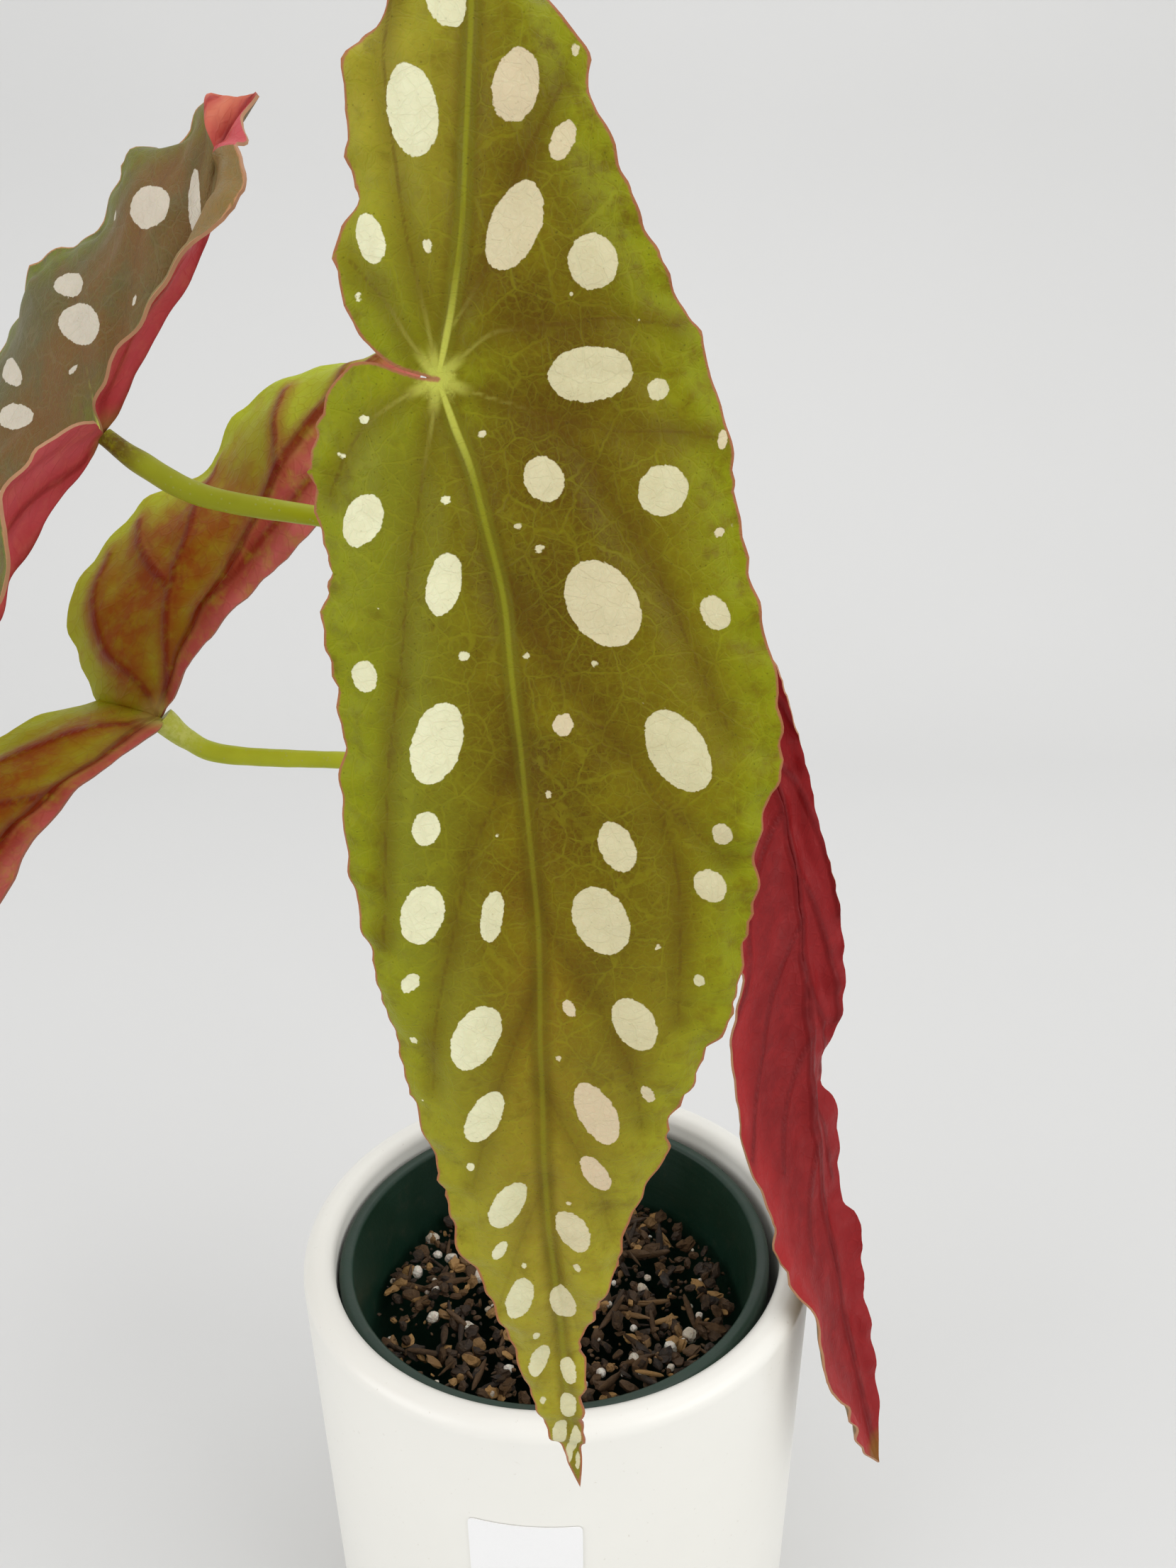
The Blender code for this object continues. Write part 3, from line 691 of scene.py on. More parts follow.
def roundStem(points, radii):
    # a path of many short steps with its own radius at each, given a round bevel and made a mesh
    clearSelection()
    bpy.ops.curve.primitive_nurbs_path_add()
    stem = bpy.context.object
    curve = stem.data
    curve.splines.clear()
    line = curve.splines.new("POLY")
    line.points.add(len(points) - 1)
    for spot, place, radius in zip(line.points, points, radii):
        spot.co = (*(place / 1000.0), 1)
        spot.radius = radius
    curve.dimensions = "3D"
    curve.bevel_depth = 0.001
    curve.bevel_resolution = 8
    curve.use_fill_caps = True
    curve.twist_mode = "MINIMUM"
    bpy.ops.object.convert(target="MESH")
    stem = bpy.context.object
    bpy.ops.object.mode_set(mode="EDIT")
    bpy.ops.mesh.select_all(action="SELECT")
    bpy.ops.mesh.remove_doubles(threshold=0.00001)
    bpy.ops.mesh.normals_make_consistent(inside=False)
    bpy.ops.object.mode_set(mode="OBJECT")
    places = np.array([v.co[:] for v in stem.data.vertices]) * 1000
    nearest = np.argmin(((places[:, None, :] - points[None, :, :]) ** 2).sum(axis=2), axis=1)
    along = stem.data.attributes.new("along", "FLOAT", "POINT")
    along.data.foreach_set("value", (nearest / (len(points) - 1)).astype(np.float32))
    smoothByAngle(stem, 50)
    return stem


def caneSurface():
    s = Surface("caneBark")
    along, place = s.attribute("along"), s.place()
    streaks = s.noise(s.place((1, 1, 0.12)), 900, 4, 0.65)
    patch = s.noise(place, 120, 4, 0.6)
    ring = s.attribute("ring")
    colour = s.mix(s.spread(along, 0.25, 0.9), cane["old"], cane["young"])
    colour = s.mix(s.spread(streaks, 0.42, 0.7), colour, s.mix(0.5, colour, (0.10, 0.07, 0.03)))
    dots = s.cells(s.place((1, 1, 0.45)), 330)
    lenticel = s.spread(dots, 0.2, 0.12) * s.spread(patch, 0.45, 0.55)
    colour = s.mix(lenticel * 0.7, colour, (0.42, 0.36, 0.22))
    colour = s.mix(ring * s.spread(patch, 0.2, 0.6, 0.5, 0.95), colour, cane["scar"])
    height = streaks * 0.5 + lenticel
    return s.finish(colour, s.spread(patch, 0.3, 0.7, 0.42, 0.62), s.bump(height, 0.0004, 0.6))


def stalkSurface(name, green, end, corked):
    s = Surface(name, Subsurface_Weight=0.08, Subsurface_Scale=0.002, Specular_IOR_Level=0.2)
    along, place = s.attribute("along"), s.place()
    patch = s.noise(place, 130, 4, 0.6)
    flecks = s.spread(s.cells(place, 900), 0.22, 0.12)
    colour = s.mix(patch, green, tuple(c * 0.72 for c in green))
    colour = s.mix(flecks * 0.35, colour, (0.42, 0.42, 0.16))
    scab = s.spread(along, 1.0 - corked, 1.0 - corked * 0.35)
    scab = scab * s.spread(s.noise(place, 700, 5, 0.7), 0.36, 0.6, 0.35, 1.0)
    colour = s.mix(scab * 0.85, colour, end)
    colour = s.mix(s.spread(along, 0.10, 0.0, 0.0, 0.6), colour, (0.20, 0.10, 0.05))
    height = scab * 0.8 + patch * 0.3
    return s.finish(colour, s.spread(patch, 0.3, 0.7, 0.34, 0.5), s.bump(height, 0.0004, 0.5))


def addStems():
    line = smoothLine(canePath, 420)
    radii = np.interp(np.linspace(0, 8, len(line)), np.arange(9), cane["radii"])
    ring = np.zeros(len(line))
    for height in cane["nodes"]:
        radii = radii + cane["swell"] * np.exp(-((line[:, 2] - height) / 2.4) ** 2)
        radii = radii - 0.28 * np.exp(-((line[:, 2] - height - 1.6) / 0.45) ** 2)
        ring = ring + np.exp(-((line[:, 2] - height - 1.5) / 0.7) ** 2)
    stem = roundStem(line, radii)
    heights = np.array([v.co.z for v in stem.data.vertices]) * 1000
    mark = stem.data.attributes.new("ring", "FLOAT", "POINT")
    mark.data.foreach_set("value", np.interp(heights, line[:, 2],
                                             np.clip(ring, 0, 1)).astype(np.float32))
    standFor(stem, "cane", "main_cane", [caneSurface()])
    for node, path in stalkPaths.items():
        line = smoothLine(path, 150)
        k = np.linspace(0, 1, len(line))
        flare = 1 + 0.45 * np.exp(-(k / 0.035) ** 2)  # wider where it leaves the cane
        radii = stalks["radius"] * (1.10 - 0.20 * np.sin(np.pi * k)) * flare
        swollen, corked = stalkEnds[node]
        young = node == "petiole_lower_left"
        uneven = 1 + 0.015 * np.sin(40 * k) + 0.01 * np.sin(97 * k)
        radii = radii * (1 + swollen * fade(k, 0.90, 1.0)) * uneven
        skin = stalkSurface(node + "Skin", stalks["young" if young else "green"],
                            stalks["pale" if young else "cork"], corked)
        stem = roundStem(line, radii)
        standFor(stem, node.replace("petiole", "stalk"), node, [skin])


def budSurface():
    s = Surface("youngBud", Roughness=0.45, Subsurface_Weight=0.1, Subsurface_Scale=0.002)
    along = s.attribute("along")
    lines = s.noise(s.place((1, 1, 0.08)), 1400, 3)
    colour = s.mix(s.spread(along, 0.1, 0.9), (0.24, 0.27, 0.05), (0.34, 0.10, 0.06))
    colour = s.mix(s.spread(lines, 0.4, 0.7, 0.0, 0.5), colour, (0.14, 0.12, 0.03))
    return s.finish(colour, None, s.bump(lines, 0.0003, 0.5))


def addGrowingTip():
    # a young leaf still rolled up inside its sheath
    line = smoothLine([(0, 0, 300.6), (0.4, -1.0, 308), (0.2, -2.2, 318), (-1, -3.6, 330)], 90)
    k = np.linspace(0, 1, len(line))
    radii = 0.30 + 3.0 * np.sin(np.pi * np.clip(k * 0.9 + 0.12, 0, 1)) ** 0.8
    bud = roundStem(line, radii)
    for v in bud.data.vertices:  # the rolled edge makes a spiral fold
        middle = np.array([np.interp(v.co.z * 1000, line[:, 2], line[:, i]) / 1000 for i in (0, 1)])
        out = Vector((v.co.x - middle[0], v.co.y - middle[1], 0))
        turn = math.atan2(out.y, out.x)
        fold = ((turn / (2 * math.pi) + (v.co.z - 0.3) * 12) % 1.0)
        v.co += out * (-0.28 + 0.28 * fold)
    standFor(bud, "growing_bud", "growing_tip", [budSurface()])


addStems()
addGrowingTip()
print("cane, stalks and bud made")


# leaves
# Lines in millimetres from each leaf's junction with its stalk. "sinus" is the half with the notch.
frontLeaf = {
    "junction": (-10.1, -76.0, 300.4), "above": (0, -1, 0), "rows": (88, 290), "columns": (36, 46),
    "thick": 0.5, "pads": 0.8, "ripple": 0.75, "teeth": 1.0, "name": "leaf_front",
    "node": "blade_front",
    "lobeSpine": [(5, 54), (5.5, 42), (5, 33.5), (4.3, 25), (3.8, 17), (2.5, 10), (1.2, 4.5),
                  (0, 0)],
    "lobeSinus": [(5, 54), (1, 51), (-3, 46), (-4.5, 41), (-8, 38), (-10, 33), (-10, 28.5),
                  (-10.5, 25), (-9, 20.5), (-11.5, 17.5), (-12, 13.5), (-11, 8.5), (-9.5, 5.4),
                  (-7.5, 3), (-5, 1.5), (-2.5, 0.7), (0, 0)],
    "lobeWide": [(5, 54), (9, 51.5), (12.5, 46.5), (15.5, 41), (19, 36.5), (19, 31.5), (21.5, 27),
                 (24.5, 20.5), (27.5, 14.5), (30.5, 9), (33, 5), (34.3, 0)],
    "bladeSpine": [(0, 0), (1.8, -5), (4, -11), (6, -19.5), (7.5, -27), (8.3, -36), (9.3, -46),
                   (10, -56), (10.7, -66), (11.1, -76), (11, -92), (11, -110), (11.5, -125),
                   (12.3, -138), (13.2, -152), (14.2, -167), (15.6, -185.5)],
    "bladeSinus": [(0, 0), (-2.5, 0.3), (-4.5, 0.8), (-6.5, 1.5), (-8.5, 2.1), (-10.5, 1.8),
                   (-12.6, 0.2), (-14.6, -3.2), (-16.3, -8), (-17.2, -13), (-17, -18),
                   (-15.3, -24), (-16.4, -28), (-16.2, -34), (-15.5, -43), (-15.6, -58),
                   (-15, -69), (-13, -79), (-11, -91), (-9.3, -102), (-6, -112), (-4.2, -122),
                   (-3.3, -129), (-0.3, -135), (3.5, -147), (6, -157), (9.5, -167), (12, -175),
                   (15.6, -185.5)],
    "bladeWide": [(34.3, 0), (36.5, -7), (37.5, -13), (38.8, -20), (41, -30), (43.5, -38),
                  (44.5, -51), (41, -61), (42, -68.5), (40, -80), (36.5, -92), (32, -101),
                  (29.5, -107), (30, -112), (26, -118), (23, -127), (22, -133), (19, -138),
                  (18, -145), (16.3, -150), (17, -156), (15.8, -164), (16.3, -175),
                  (15.6, -185.5)]}

upperLeftLeaf = {
    "junction": (-68.3, -36.0, 293.1), "above": (-0.6, -0.7, 0.4), "rows": (64, 170),
    "columns": (26, 36), "thick": 0.5, "pads": 0.7, "ripple": 0.7, "puff": -0.06, "teeth": 0.8,
    "curl": 50, "name": "leaf_upper_left", "node": "blade_upper_left",
    "lobeSpine": [(24.5, 14, 51), (20.5, 18, 47.5), (18.5, 16, 42), (18, 12, 36), (17, 8, 30),
                  (14.5, 5, 24.5), (11.5, 3, 19), (8.5, 2, 14), (6, 1, 9.5), (3.5, 0, 5),
                  (0, 0, 0)],
    "lobeSinus": [(24.5, 14, 51), (22.5, 11, 47), (24.5, 5, 42.5), (26, 0, 38.5), (27, -3, 35),
                  (25.5, -6, 32), (22, -8, 28), (18.5, -10, 24.5), (15.5, -10, 20.5),
                  (10, -10, 14.5), (7.5, -10, 11), (5, -9, 8), (2.5, -7, 6), (1, -4.5, 3.7),
                  (0, 0, 0)],
    "lobeWide": [(24.5, 14, 51), (20.5, 19, 51.5), (16.5, 23, 52), (12.5, 27, 50), (8, 27, 46.5),
                 (3, 27, 45), (-1.5, 26, 41), (-4.5, 27, 35.5), (-8.5, 28, 32.5), (-14.5, 29, 30),
                 (-21, 31, 27.5)],
    "bladeSpine": [(0, 0, 0), (-5, -2, -6.5), (-8.5, -6, -12.5), (-12, -10, -18.5),
                   (-16, -13, -27), (-25, -17, -37), (-37, -22, -48), (-51, -27, -59),
                   (-66, -32, -70), (-81, -36, -81), (-95, -40, -94), (-104, -42, -103)],
    "bladeSinus": [(0, 0, 0), (1.2, -4, 0.8), (2.5, -9, 1.5), (0.5, -12, 1.3), (-3, -16, -0.5),
                   (-5.5, -20, -4.5), (-6.5, -22, -10), (-7, -22, -15.5), (-11, -21, -23.5),
                   (-18, -26, -33), (-29, -31, -46), (-42, -36, -58), (-56, -41, -70),
                   (-71, -45, -81), (-86, -46, -91), (-97, -45, -99), (-104, -42, -103)],
    "bladeWide": [(-21, 31, 27.5), (-23.5, 32, 23), (-26, 33, 18.5), (-30, 34, 14), (-36, 33, 6),
                  (-44, 31, -3), (-54, 27, -13), (-65, 21, -24), (-76, 13, -37), (-86, 3, -51),
                  (-94, -9, -66), (-100, -22, -82), (-103, -34, -95), (-104, -42, -103)]}

lowerLeftLeaf = {
    "junction": (-74.3, -11.0, 239.7), "above": (-0.3, 0.9, 0.3), "rows": (84, 140),
    "columns": (24, 34), "thick": 0.5, "pads": 0.6, "ripple": 0.35, "puff": -0.06, "teeth": 0.4,
    "name": "leaf_lower_left", "node": "blade_lower_left",
    "lobeSpine": [(55, 19, 70.5), (48, 17, 67.5), (42, 15, 64), (36.5, 13.3, 59), (31, 11.8, 53.5),
                  (26.4, 9.3, 47), (22.6, 6.5, 40), (19, 3.6, 33), (15.6, 0.6, 26.3),
                  (11.3, -1, 20), (7.1, -1.7, 13.5), (3.7, -1.1, 6.5), (0, 0, 0)],
    "lobeSinus": [(55, 19, 70.5), (49.5, 11, 57), (42, 7, 46), (32, 1, 35), (22, -2, 26),
                  (16, -4, 19.5), (8, -4, 11), (4.5, -3, 4.8), (1.5, -1, 1.6), (0, 0, 0)],
    "lobeWide": [(55, 19, 70.5), (41, 25, 65), (33.5, 27, 64.5), (25.5, 29, 62), (18.5, 29, 59.5),
                 (12, 29, 55), (8.5, 28, 49), (5.5, 27, 43.5), (-2, 25, 40.5), (-9, 22, 36.5),
                 (-16, 18, 27.5), (-19, 15, 22.5), (-20.5, 12, 15.5), (-18, 10, 8), (-15.5, 9, 1)],
    "bladeSpine": [(0, 0, 0), (-1.1, -3.8, -1.1), (-4.3, -9.4, -3.1), (-7.1, -12.7, -4.8),
                   (-12.4, -16.3, -8.2), (-19, -20.6, -13.8), (-26.4, -24.8, -22.1),
                   (-35.6, -29.1, -35), (-47, -33.1, -52.4), (-58.8, -36.1, -72.4),
                   (-69.8, -38, -93), (-76.8, -38.8, -108.9), (-83, -40, -125)],
    "bladeSinus": [(0, 0, 0), (1, -2, -0.8), (1, -5, -1.5), (-1, -9, -2.7), (-5, -14, -5),
                   (-9.5, -18, -8), (-15.5, -24, -15), (-20.5, -31, -24.5), (-30, -37, -41),
                   (-43, -42, -62), (-56, -45, -83), (-69, -45, -103), (-78, -43, -117),
                   (-83, -40, -125)],
    "bladeWide": [(-15.5, 9, 1), (-19, 7, 0), (-25, 3, -0.5), (-31, -1, -3.5), (-42, -4, -10),
                  (-56, -8, -23), (-69, -13, -40), (-79, -19, -60), (-85, -26, -82),
                  (-86, -33, -103), (-83, -40, -125)]}

rightLeaf = {
    "junction": (30.0, 24.0, 250.0), "above": (0.4, 0.8, 0.3), "rows": (50, 190),
    "columns": (26, 36), "thick": 0.5, "pads": 0.8, "ripple": 0.7, "puff": 0.06, "teeth": 0.7,
    "name": "leaf_right", "node": "blade_right",
    "lobeSpine": [(-13, 21, 40), (-11, 18, 32), (-8, 12, 20), (-4, 5, 9), (0, 0, 0)],
    "lobeSinus": [(-13, 21, 40), (-6, 22, 34), (-1, 19, 24), (3, 14, 14), (5.5, 9, 7), (4, 5, 3.2),
                  (0, 0, 0)],
    "lobeWide": [(-13, 21, 40), (-22, 18, 34), (-27, 12, 22), (-27, 4, 8), (-22, -4, -5)],
    "bladeSpine": [(0, 0, 0), (10, -2, -14), (20, -6, -35), (24, -11, -55), (26, -17, -75),
                   (27.5, -23, -95), (28.5, -29, -113), (31, -35, -131), (34, -42, -148),
                   (37, -47, -163), (40, -52, -175), (41.5, -54, -179)],
    "bladeSinus": [(0, 0, 0), (4.5, 3, -1.2), (9, 3.5, 0), (14, 0, -1), (19, -3, -8),
                   (23, -5, -18), (27, -6, -32), (29.5, -8, -43), (33, -10, -55), (36, -12, -70),
                   (35.5, -15, -86), (31, -18, -102), (35, -21, -109), (35.5, -27, -128),
                   (39.5, -31, -133), (40.5, -36, -148), (41.5, -40, -156), (42.5, -45, -168),
                   (41.5, -54, -179)],
    "bladeWide": [(-22, -4, -5), (-16, -14, -22), (-6, -22, -38), (4, -28, -54), (10, -33, -68),
                  (8, -37, -79), (9, -43, -99), (16, -49, -118), (20, -54, -129), (25, -59, -138),
                  (27, -61, -147), (31.5, -61, -157), (36, -58, -170), (41.5, -54, -179)]}

# Spots as (across, along, width, length, lean in degrees, blush): along is up from the junction.
frontSpots = [
    (2.7, 42, 4.5, 6.6, -10, 0), (-1.9, 30.2, 6.3, 10, -10, 0), (10.5, 32.5, 5.2, 8, 14, 0.6),
    (15.8, 26.7, 2.6, 4.8, 24, 0.5), (17.5, 36.7, 1, 1.1, 0, 0.3), (10, 17.4, 6, 10.6, 26, 0.4),
    (-7.5, 16.2, 3.6, 5.7, -15, 0), (-0.6, 15.4, 1.2, 1.9, -20, 0.2),
    (19.3, 13.4, 6, 6.2, 20, 0.2), (-9.6, 9.7, 1.1, 1.1, 0, 0), (18.9, 0.5, 10.6, 6.4, -4, 0.15),
    (27.4, -1.5, 2.9, 2.5, 0, 0.1), (-9.4, -4.6, 1.6, 1.1, 0, 0), (5.4, -6.4, 1.1, 1, 0, 0.2),
    (35.6, -7.8, 1.1, 2.3, 10, 0.5), (-12.9, -9, 1.1, 1, 0, 0), (13, -12, 4.8, 5.8, -30, 0.2),
    (28, -13.7, 6.3, 6.2, -20, 0.1), (0.6, -14.4, 1.3, 1.1, 0, 0), (-10.3, -17, 5, 7.3, 34, 0),
    (9.7, -17.6, 1.1, 0.9, 0, 0.2), (35.5, -19.2, 1.6, 1.2, 0, 0.4),
    (12.3, -20.5, 1.3, 1.2, 0, 0.2), (0.1, -24.8, 4.3, 8, 14, 0), (20.3, -27.5, 8.6, 12, -34, 0.3),
    (35, -29.4, 3.3, 5, -30, 0.2), (-8.8, -27.8, 0.8, 0.8, 0, 0), (2.3, -33.9, 1.4, 1.5, 0, 0),
    (10.4, -34, 1, 0.9, 0, 0.2), (19.2, -35.2, 1.1, 0.8, 0, 0.1), (-11.3, -37.2, 3.5, 4.5, 12, 0),
    (15, -43, 2.6, 3, -10, 0.6), (-1.7, -45.6, 6.6, 11.6, 20, 0),
    (30.2, -47.2, 7.2, 12.8, -32, 0.1), (13, -52.4, 1.1, 1.4, 0, 0.4),
    (-3.7, -57.5, 3.6, 5.1, 18, 0), (6, -58.3, 0.8, 0.8, 0, 0), (22, -60, 4.6, 7.7, -22, 0.2),
    (36.5, -59.5, 2.3, 3.7, -24, 0.3), (-5, -70.4, 5.8, 9.4, 20, 0), (4.8, -70.2, 3, 7.8, 10, 0),
    (19.8, -70.8, 7.3, 11, -22, 0.2), (35, -67, 3.8, 5.7, -40, 0.2), (27.7, -75.4, 1, 0.9, 0, 0.2),
    (33.7, -81.4, 1.4, 2.1, -20, 0), (-7.2, -81.3, 2.1, 3.8, 32, 0),
    (15.2, -84.3, 1.5, 3, -25, 0.6), (1.8, -89.3, 6.2, 11.8, 26, 0),
    (24.5, -87.5, 5.6, 9.4, -25, 0.2), (-7.7, -91.4, 1.1, 1.3, 0, 0),
    (13.6, -92.6, 0.8, 1.1, 0, 0.4), (2.4, -103.3, 4.7, 10.2, 26, 0),
    (19, -102.4, 5.3, 11.9, -22, 0.75), (26.6, -100, 1.6, 3.8, -24, 0.5),
    (-0.2, -112.9, 1.2, 1.9, 10, 0), (18.8, -113.6, 3.4, 7.9, -28, 0.8),
    (5.3, -119.4, 4.5, 10.5, 24, 0), (14.7, -118.8, 0.9, 0.9, 0, 0.3),
    (15.2, -124.6, 4.7, 8.4, -20, 0.3), (3.6, -129.2, 1.9, 4.3, 24, 0),
    (7.4, -132.2, 0.9, 1.1, 0, 0), (15.8, -131.9, 1, 1.6, -20, 0.2), (6.5, -139, 3.9, 9.6, 18, 0),
    (13.4, -140.5, 4.2, 7.3, -15, 0.2), (8.8, -147.5, 1.2, 2.1, 10, 0),
    (9.1, -153.8, 2.9, 7.3, 16, 0), (14, -155.8, 2.4, 4.6, -12, 0.1),
    (9.7, -162.8, 0.9, 1.6, 20, 0), (13.8, -163.5, 2.9, 5.3, 0, 0), (12.4, -170.5, 2.2, 6.8, 4, 0),
    (14.8, -173, 1.8, 7.6, 6, 0), (13.6, -177.2, 1.6, 5.6, 8, 0), (15.3, -178.9, 1, 3.4, 6, 0)]

upperSpots = [
    (14, 29.5, 6.5, 11.8, -66, 0.1), (5, 37.5, 4, 10, 43, 0), (27.5, 8, 4, 11, -63, 0),
    (17.5, 7, 6, 13.5, -68, 0), (31.5, -11, 3.5, 12.5, -76, 0), (22, -13.5, 3.5, 12, -60, 0),
    (1, 31, 1, 3, 40, 0), (12.5, 2, 1, 3, -20, 0), (38, 22, 4, 7, -50, 0.1),
    (26, 22, 1.5, 1.8, 0, 0), (8, 18, 1.4, 1.8, 0, 0), (-5, 22, 2.5, 4, 30, 0),
    (12, -24, 5, 8, -40, 0.1), (33, -30, 6, 10, -35, 0), (20, -42, 6, 9, -30, 0),
    (38, -48, 5, 8, -30, 0), (-6, -30, 3.5, 7, 20, 0), (8, -50, 4, 8, -20, 0),
    (28, -62, 7, 11, -30, 0.1), (-7, -58, 4, 8, 20, 0), (13, -74, 5, 9, -25, 0),
    (30, -84, 5, 8, -30, 0), (-5, -84, 4, 7, 20, 0), (18, -98, 6, 10, -25, 0),
    (4, -108, 4, 8, -15, 0), (12, -124, 4, 8, -20, 0), (2, -138, 3, 6, -10, 0),
    (25, -110, 3, 5, -30, 0)]

otherSpots = [
    (5, 52, 4, 8, 8, 0), (-6, 60, 3.5, 7, -12, 0), (11, 64, 4.5, 8, 14, 0.1), (2, 76, 3, 7, 6, 0),
    (-6, 40, 3, 6, -14, 0), (15, 22, 6, 9, 25, 0.3), (-8, 18, 4, 6, -20, 0),
    (8, 34, 5, 8, 12, 0.2), (24, 8, 9, 6, 10, 0.2), (12, 3, 4, 5, 0, 0.1),
    (19, -14, 7, 9, -30, 0.3), (33, -10, 5, 6, -10, 0.2), (-7, -14, 4, 6, 25, 0),
    (-5, -34, 5, 9, 20, 0), (10, -33, 4, 8, -15, 0.1), (26, -34, 8, 11, -35, 0.2),
    (38, -28, 3, 5, -20, 0), (-9, -52, 4, 8, 22, 0), (16, -55, 6, 10, -25, 0.3),
    (31, -58, 5, 8, -30, 0), (-5, -70, 5, 9, 22, 0), (11, -76, 4, 7, -20, 0.1),
    (24, -80, 6, 10, -28, 0.2), (-8, -90, 3, 6, 20, 0), (15, -98, 5, 9, -22, 0.2),
    (-4, -108, 4, 8, 18, 0), (8, -118, 4, 8, -15, 0.3), (-3, -128, 3, 6, 12, 0),
    (4, -139, 3, 6, -8, 0), (20, -116, 2, 4, -25, 0), (3, -22, 1.4, 1.6, 0, 0),
    (28, -46, 1.6, 1.8, 0, 0), (6, -46, 1.3, 1.5, 0, 0), (-11, -24, 1.3, 1.6, 0, 0),
    (5, -62, 1.5, 2, 0, 0), (20, -43, 1.2, 1.4, 0, 0), (-2, -82, 1.4, 1.8, 0, 0),
    (33, -72, 1.8, 2.4, 0, 0), (18, 12, 1.3, 1.4, 0, 0)]

# Veins as runs of (across, along)
frontRib = [(0, 0), (2, 8), (3.5, 17), (4.5, 27), (5.5, 42), (5, 53)]
frontVeins = [
    [(0, 0), (-1.5, 9), (-3.5, 18), (-4.5, 26), (-5, 36), (-3, 44)],
    [(0, 0), (-3.5, 5), (-6, 9), (-10.5, 14)],
    [(0, 0), (3, 2.5), (7, 5.3), (12, 6), (22, 7), (30, 6)], [(1, 5), (6, 12), (11, 24), (16, 33)],
    [(0, 0), (6, -2), (12, -4), (17, -8), (22, -15), (28, -25), (33, -36), (38, -46)],
    [(12, -4), (21, -6), (30, -6.5), (36, -8)],
    [(0, 0), (-1.5, -8), (-4, -20), (-6, -33), (-8.5, -48), (-10, -62), (-11, -76)],
    [(0, 0), (-6, -3), (-11, -7), (-15, -14)],
    [(7, -22), (12, -32), (18, -41), (24, -48), (28, -56), (30.5, -65), (31, -76), (31, -88)],
    [(24, -48), (30, -56), (38, -64)],
    [(9, -47), (5, -55), (2, -62), (-1, -74), (-4, -87), (-5.5, -100)],
    [(10.5, -67), (15, -77), (20, -86), (24, -95), (26, -106)],
    [(11, -80), (7, -91), (3, -104), (0, -117)], [(11, -98), (15, -107), (19, -116), (21, -126)],
    [(11.3, -115), (8, -124), (5, -134), (3, -142)], [(12, -130), (14, -138), (16, -147)],
    [(12.8, -145), (10.5, -152), (8.5, -160)]]

otherVeins = [
    [(0, 0), (6, 10), (13, 24), (17, 38)], [(0, 0), (10, 4), (24, 8), (34, 7)],
    [(0, 0), (8, -5), (20, -14), (31, -30), (38, -46)], [(0, 0), (-5, 8), (-9, 18), (-10, 30)],
    [(0, 0), (-4, -10), (-9, -26), (-13, -46)], [(0, 28), (6, 40), (11, 52)],
    [(0, 30), (-4, 42), (-6, 54)], [(0, -22), (10, -32), (22, -47), (32, -66)],
    [(0, -46), (10, -57), (20, -72), (29, -90)], [(0, -72), (9, -83), (17, -98), (24, -114)],
    [(0, -98), (7, -108), (13, -122)], [(0, -122), (5, -131), (9, -142)],
    [(0, -34), (-6, -46), (-10, -62), (-12, -78)], [(0, -60), (-5, -72), (-9, -88), (-10, -100)],
    [(0, -86), (-5, -98), (-8, -112)], [(0, -112), (-4, -122), (-6, -134)]]


lowerVeins = [
    [(0, 1), (8, 7), (17, 11), (23, 16), (27, 20), (30, 26)],
    [(0, 6), (4, 16), (8, 22), (12, 29), (14, 36), (18, 43), (22, 49)],
    [(10, 25), (17, 27), (24, 29.5), (29, 33)], [(0, 54), (5, 58), (9, 61), (14, 66)],
    [(0, 70), (5, 76), (8, 82)], [(0, 24), (-2, 34), (-4, 42), (-6, 49), (-7, 56)],
    [(0, -2), (6, -8), (11, -14), (14, -20), (17, -27), (20, -35)],
    [(0, -26), (8, -33), (18, -44), (26, -58)], [(0, -48), (9, -57), (19, -70), (27, -86)],
    [(0, -72), (8, -82), (16, -96), (23, -112)], [(0, -98), (7, -108), (13, -122)],
    [(0, -122), (5, -131), (9, -142)], [(0, -34), (-4, -46), (-7, -60)],
    [(0, -60), (-4, -72), (-8, -88)], [(0, -86), (-4, -98), (-7, -110)],
    [(0, -112), (-4, -122), (-6, -134)]]


def hangFront(points):
    # depth for the front leaf: tip and lobe curl back, and both halves fall back from the midrib
    spine = np.array(frontLeaf["lobeSpine"] + frontLeaf["bladeSpine"][1:])
    placed = []
    for x, z in points:
        mid = np.interp(-z, -spine[:, 1], spine[:, 0])
        k = min(max(-z / 184.0, 0), 1)
        bow = 10 * (z / 65.0) ** 2 if z > 0 else 3 * k - 8 * math.sin(math.pi * k ** 0.9)
        placed.append((x, bow + (0.16 if x > mid else 0.20) * abs(x - mid), z))
    return placed


def nearRuns(places, runs, smooth=True):
    # distance from each place to the nearest of several polylines
    best = np.full(len(places), 1e9)
    for run in runs:
        line = np.array(run, dtype=float)
        if smooth and len(run) > 2:
            line = smoothLine(run, 8 * (len(run) - 1))
        for a, b in zip(line, line[1:]):
            step = b - a
            t = np.clip(((places - a) @ step) / max(step @ step, 1e-9), 0, 1)
            best = np.minimum(best, np.linalg.norm(places - (a + t[:, None] * step), axis=1))
    return best


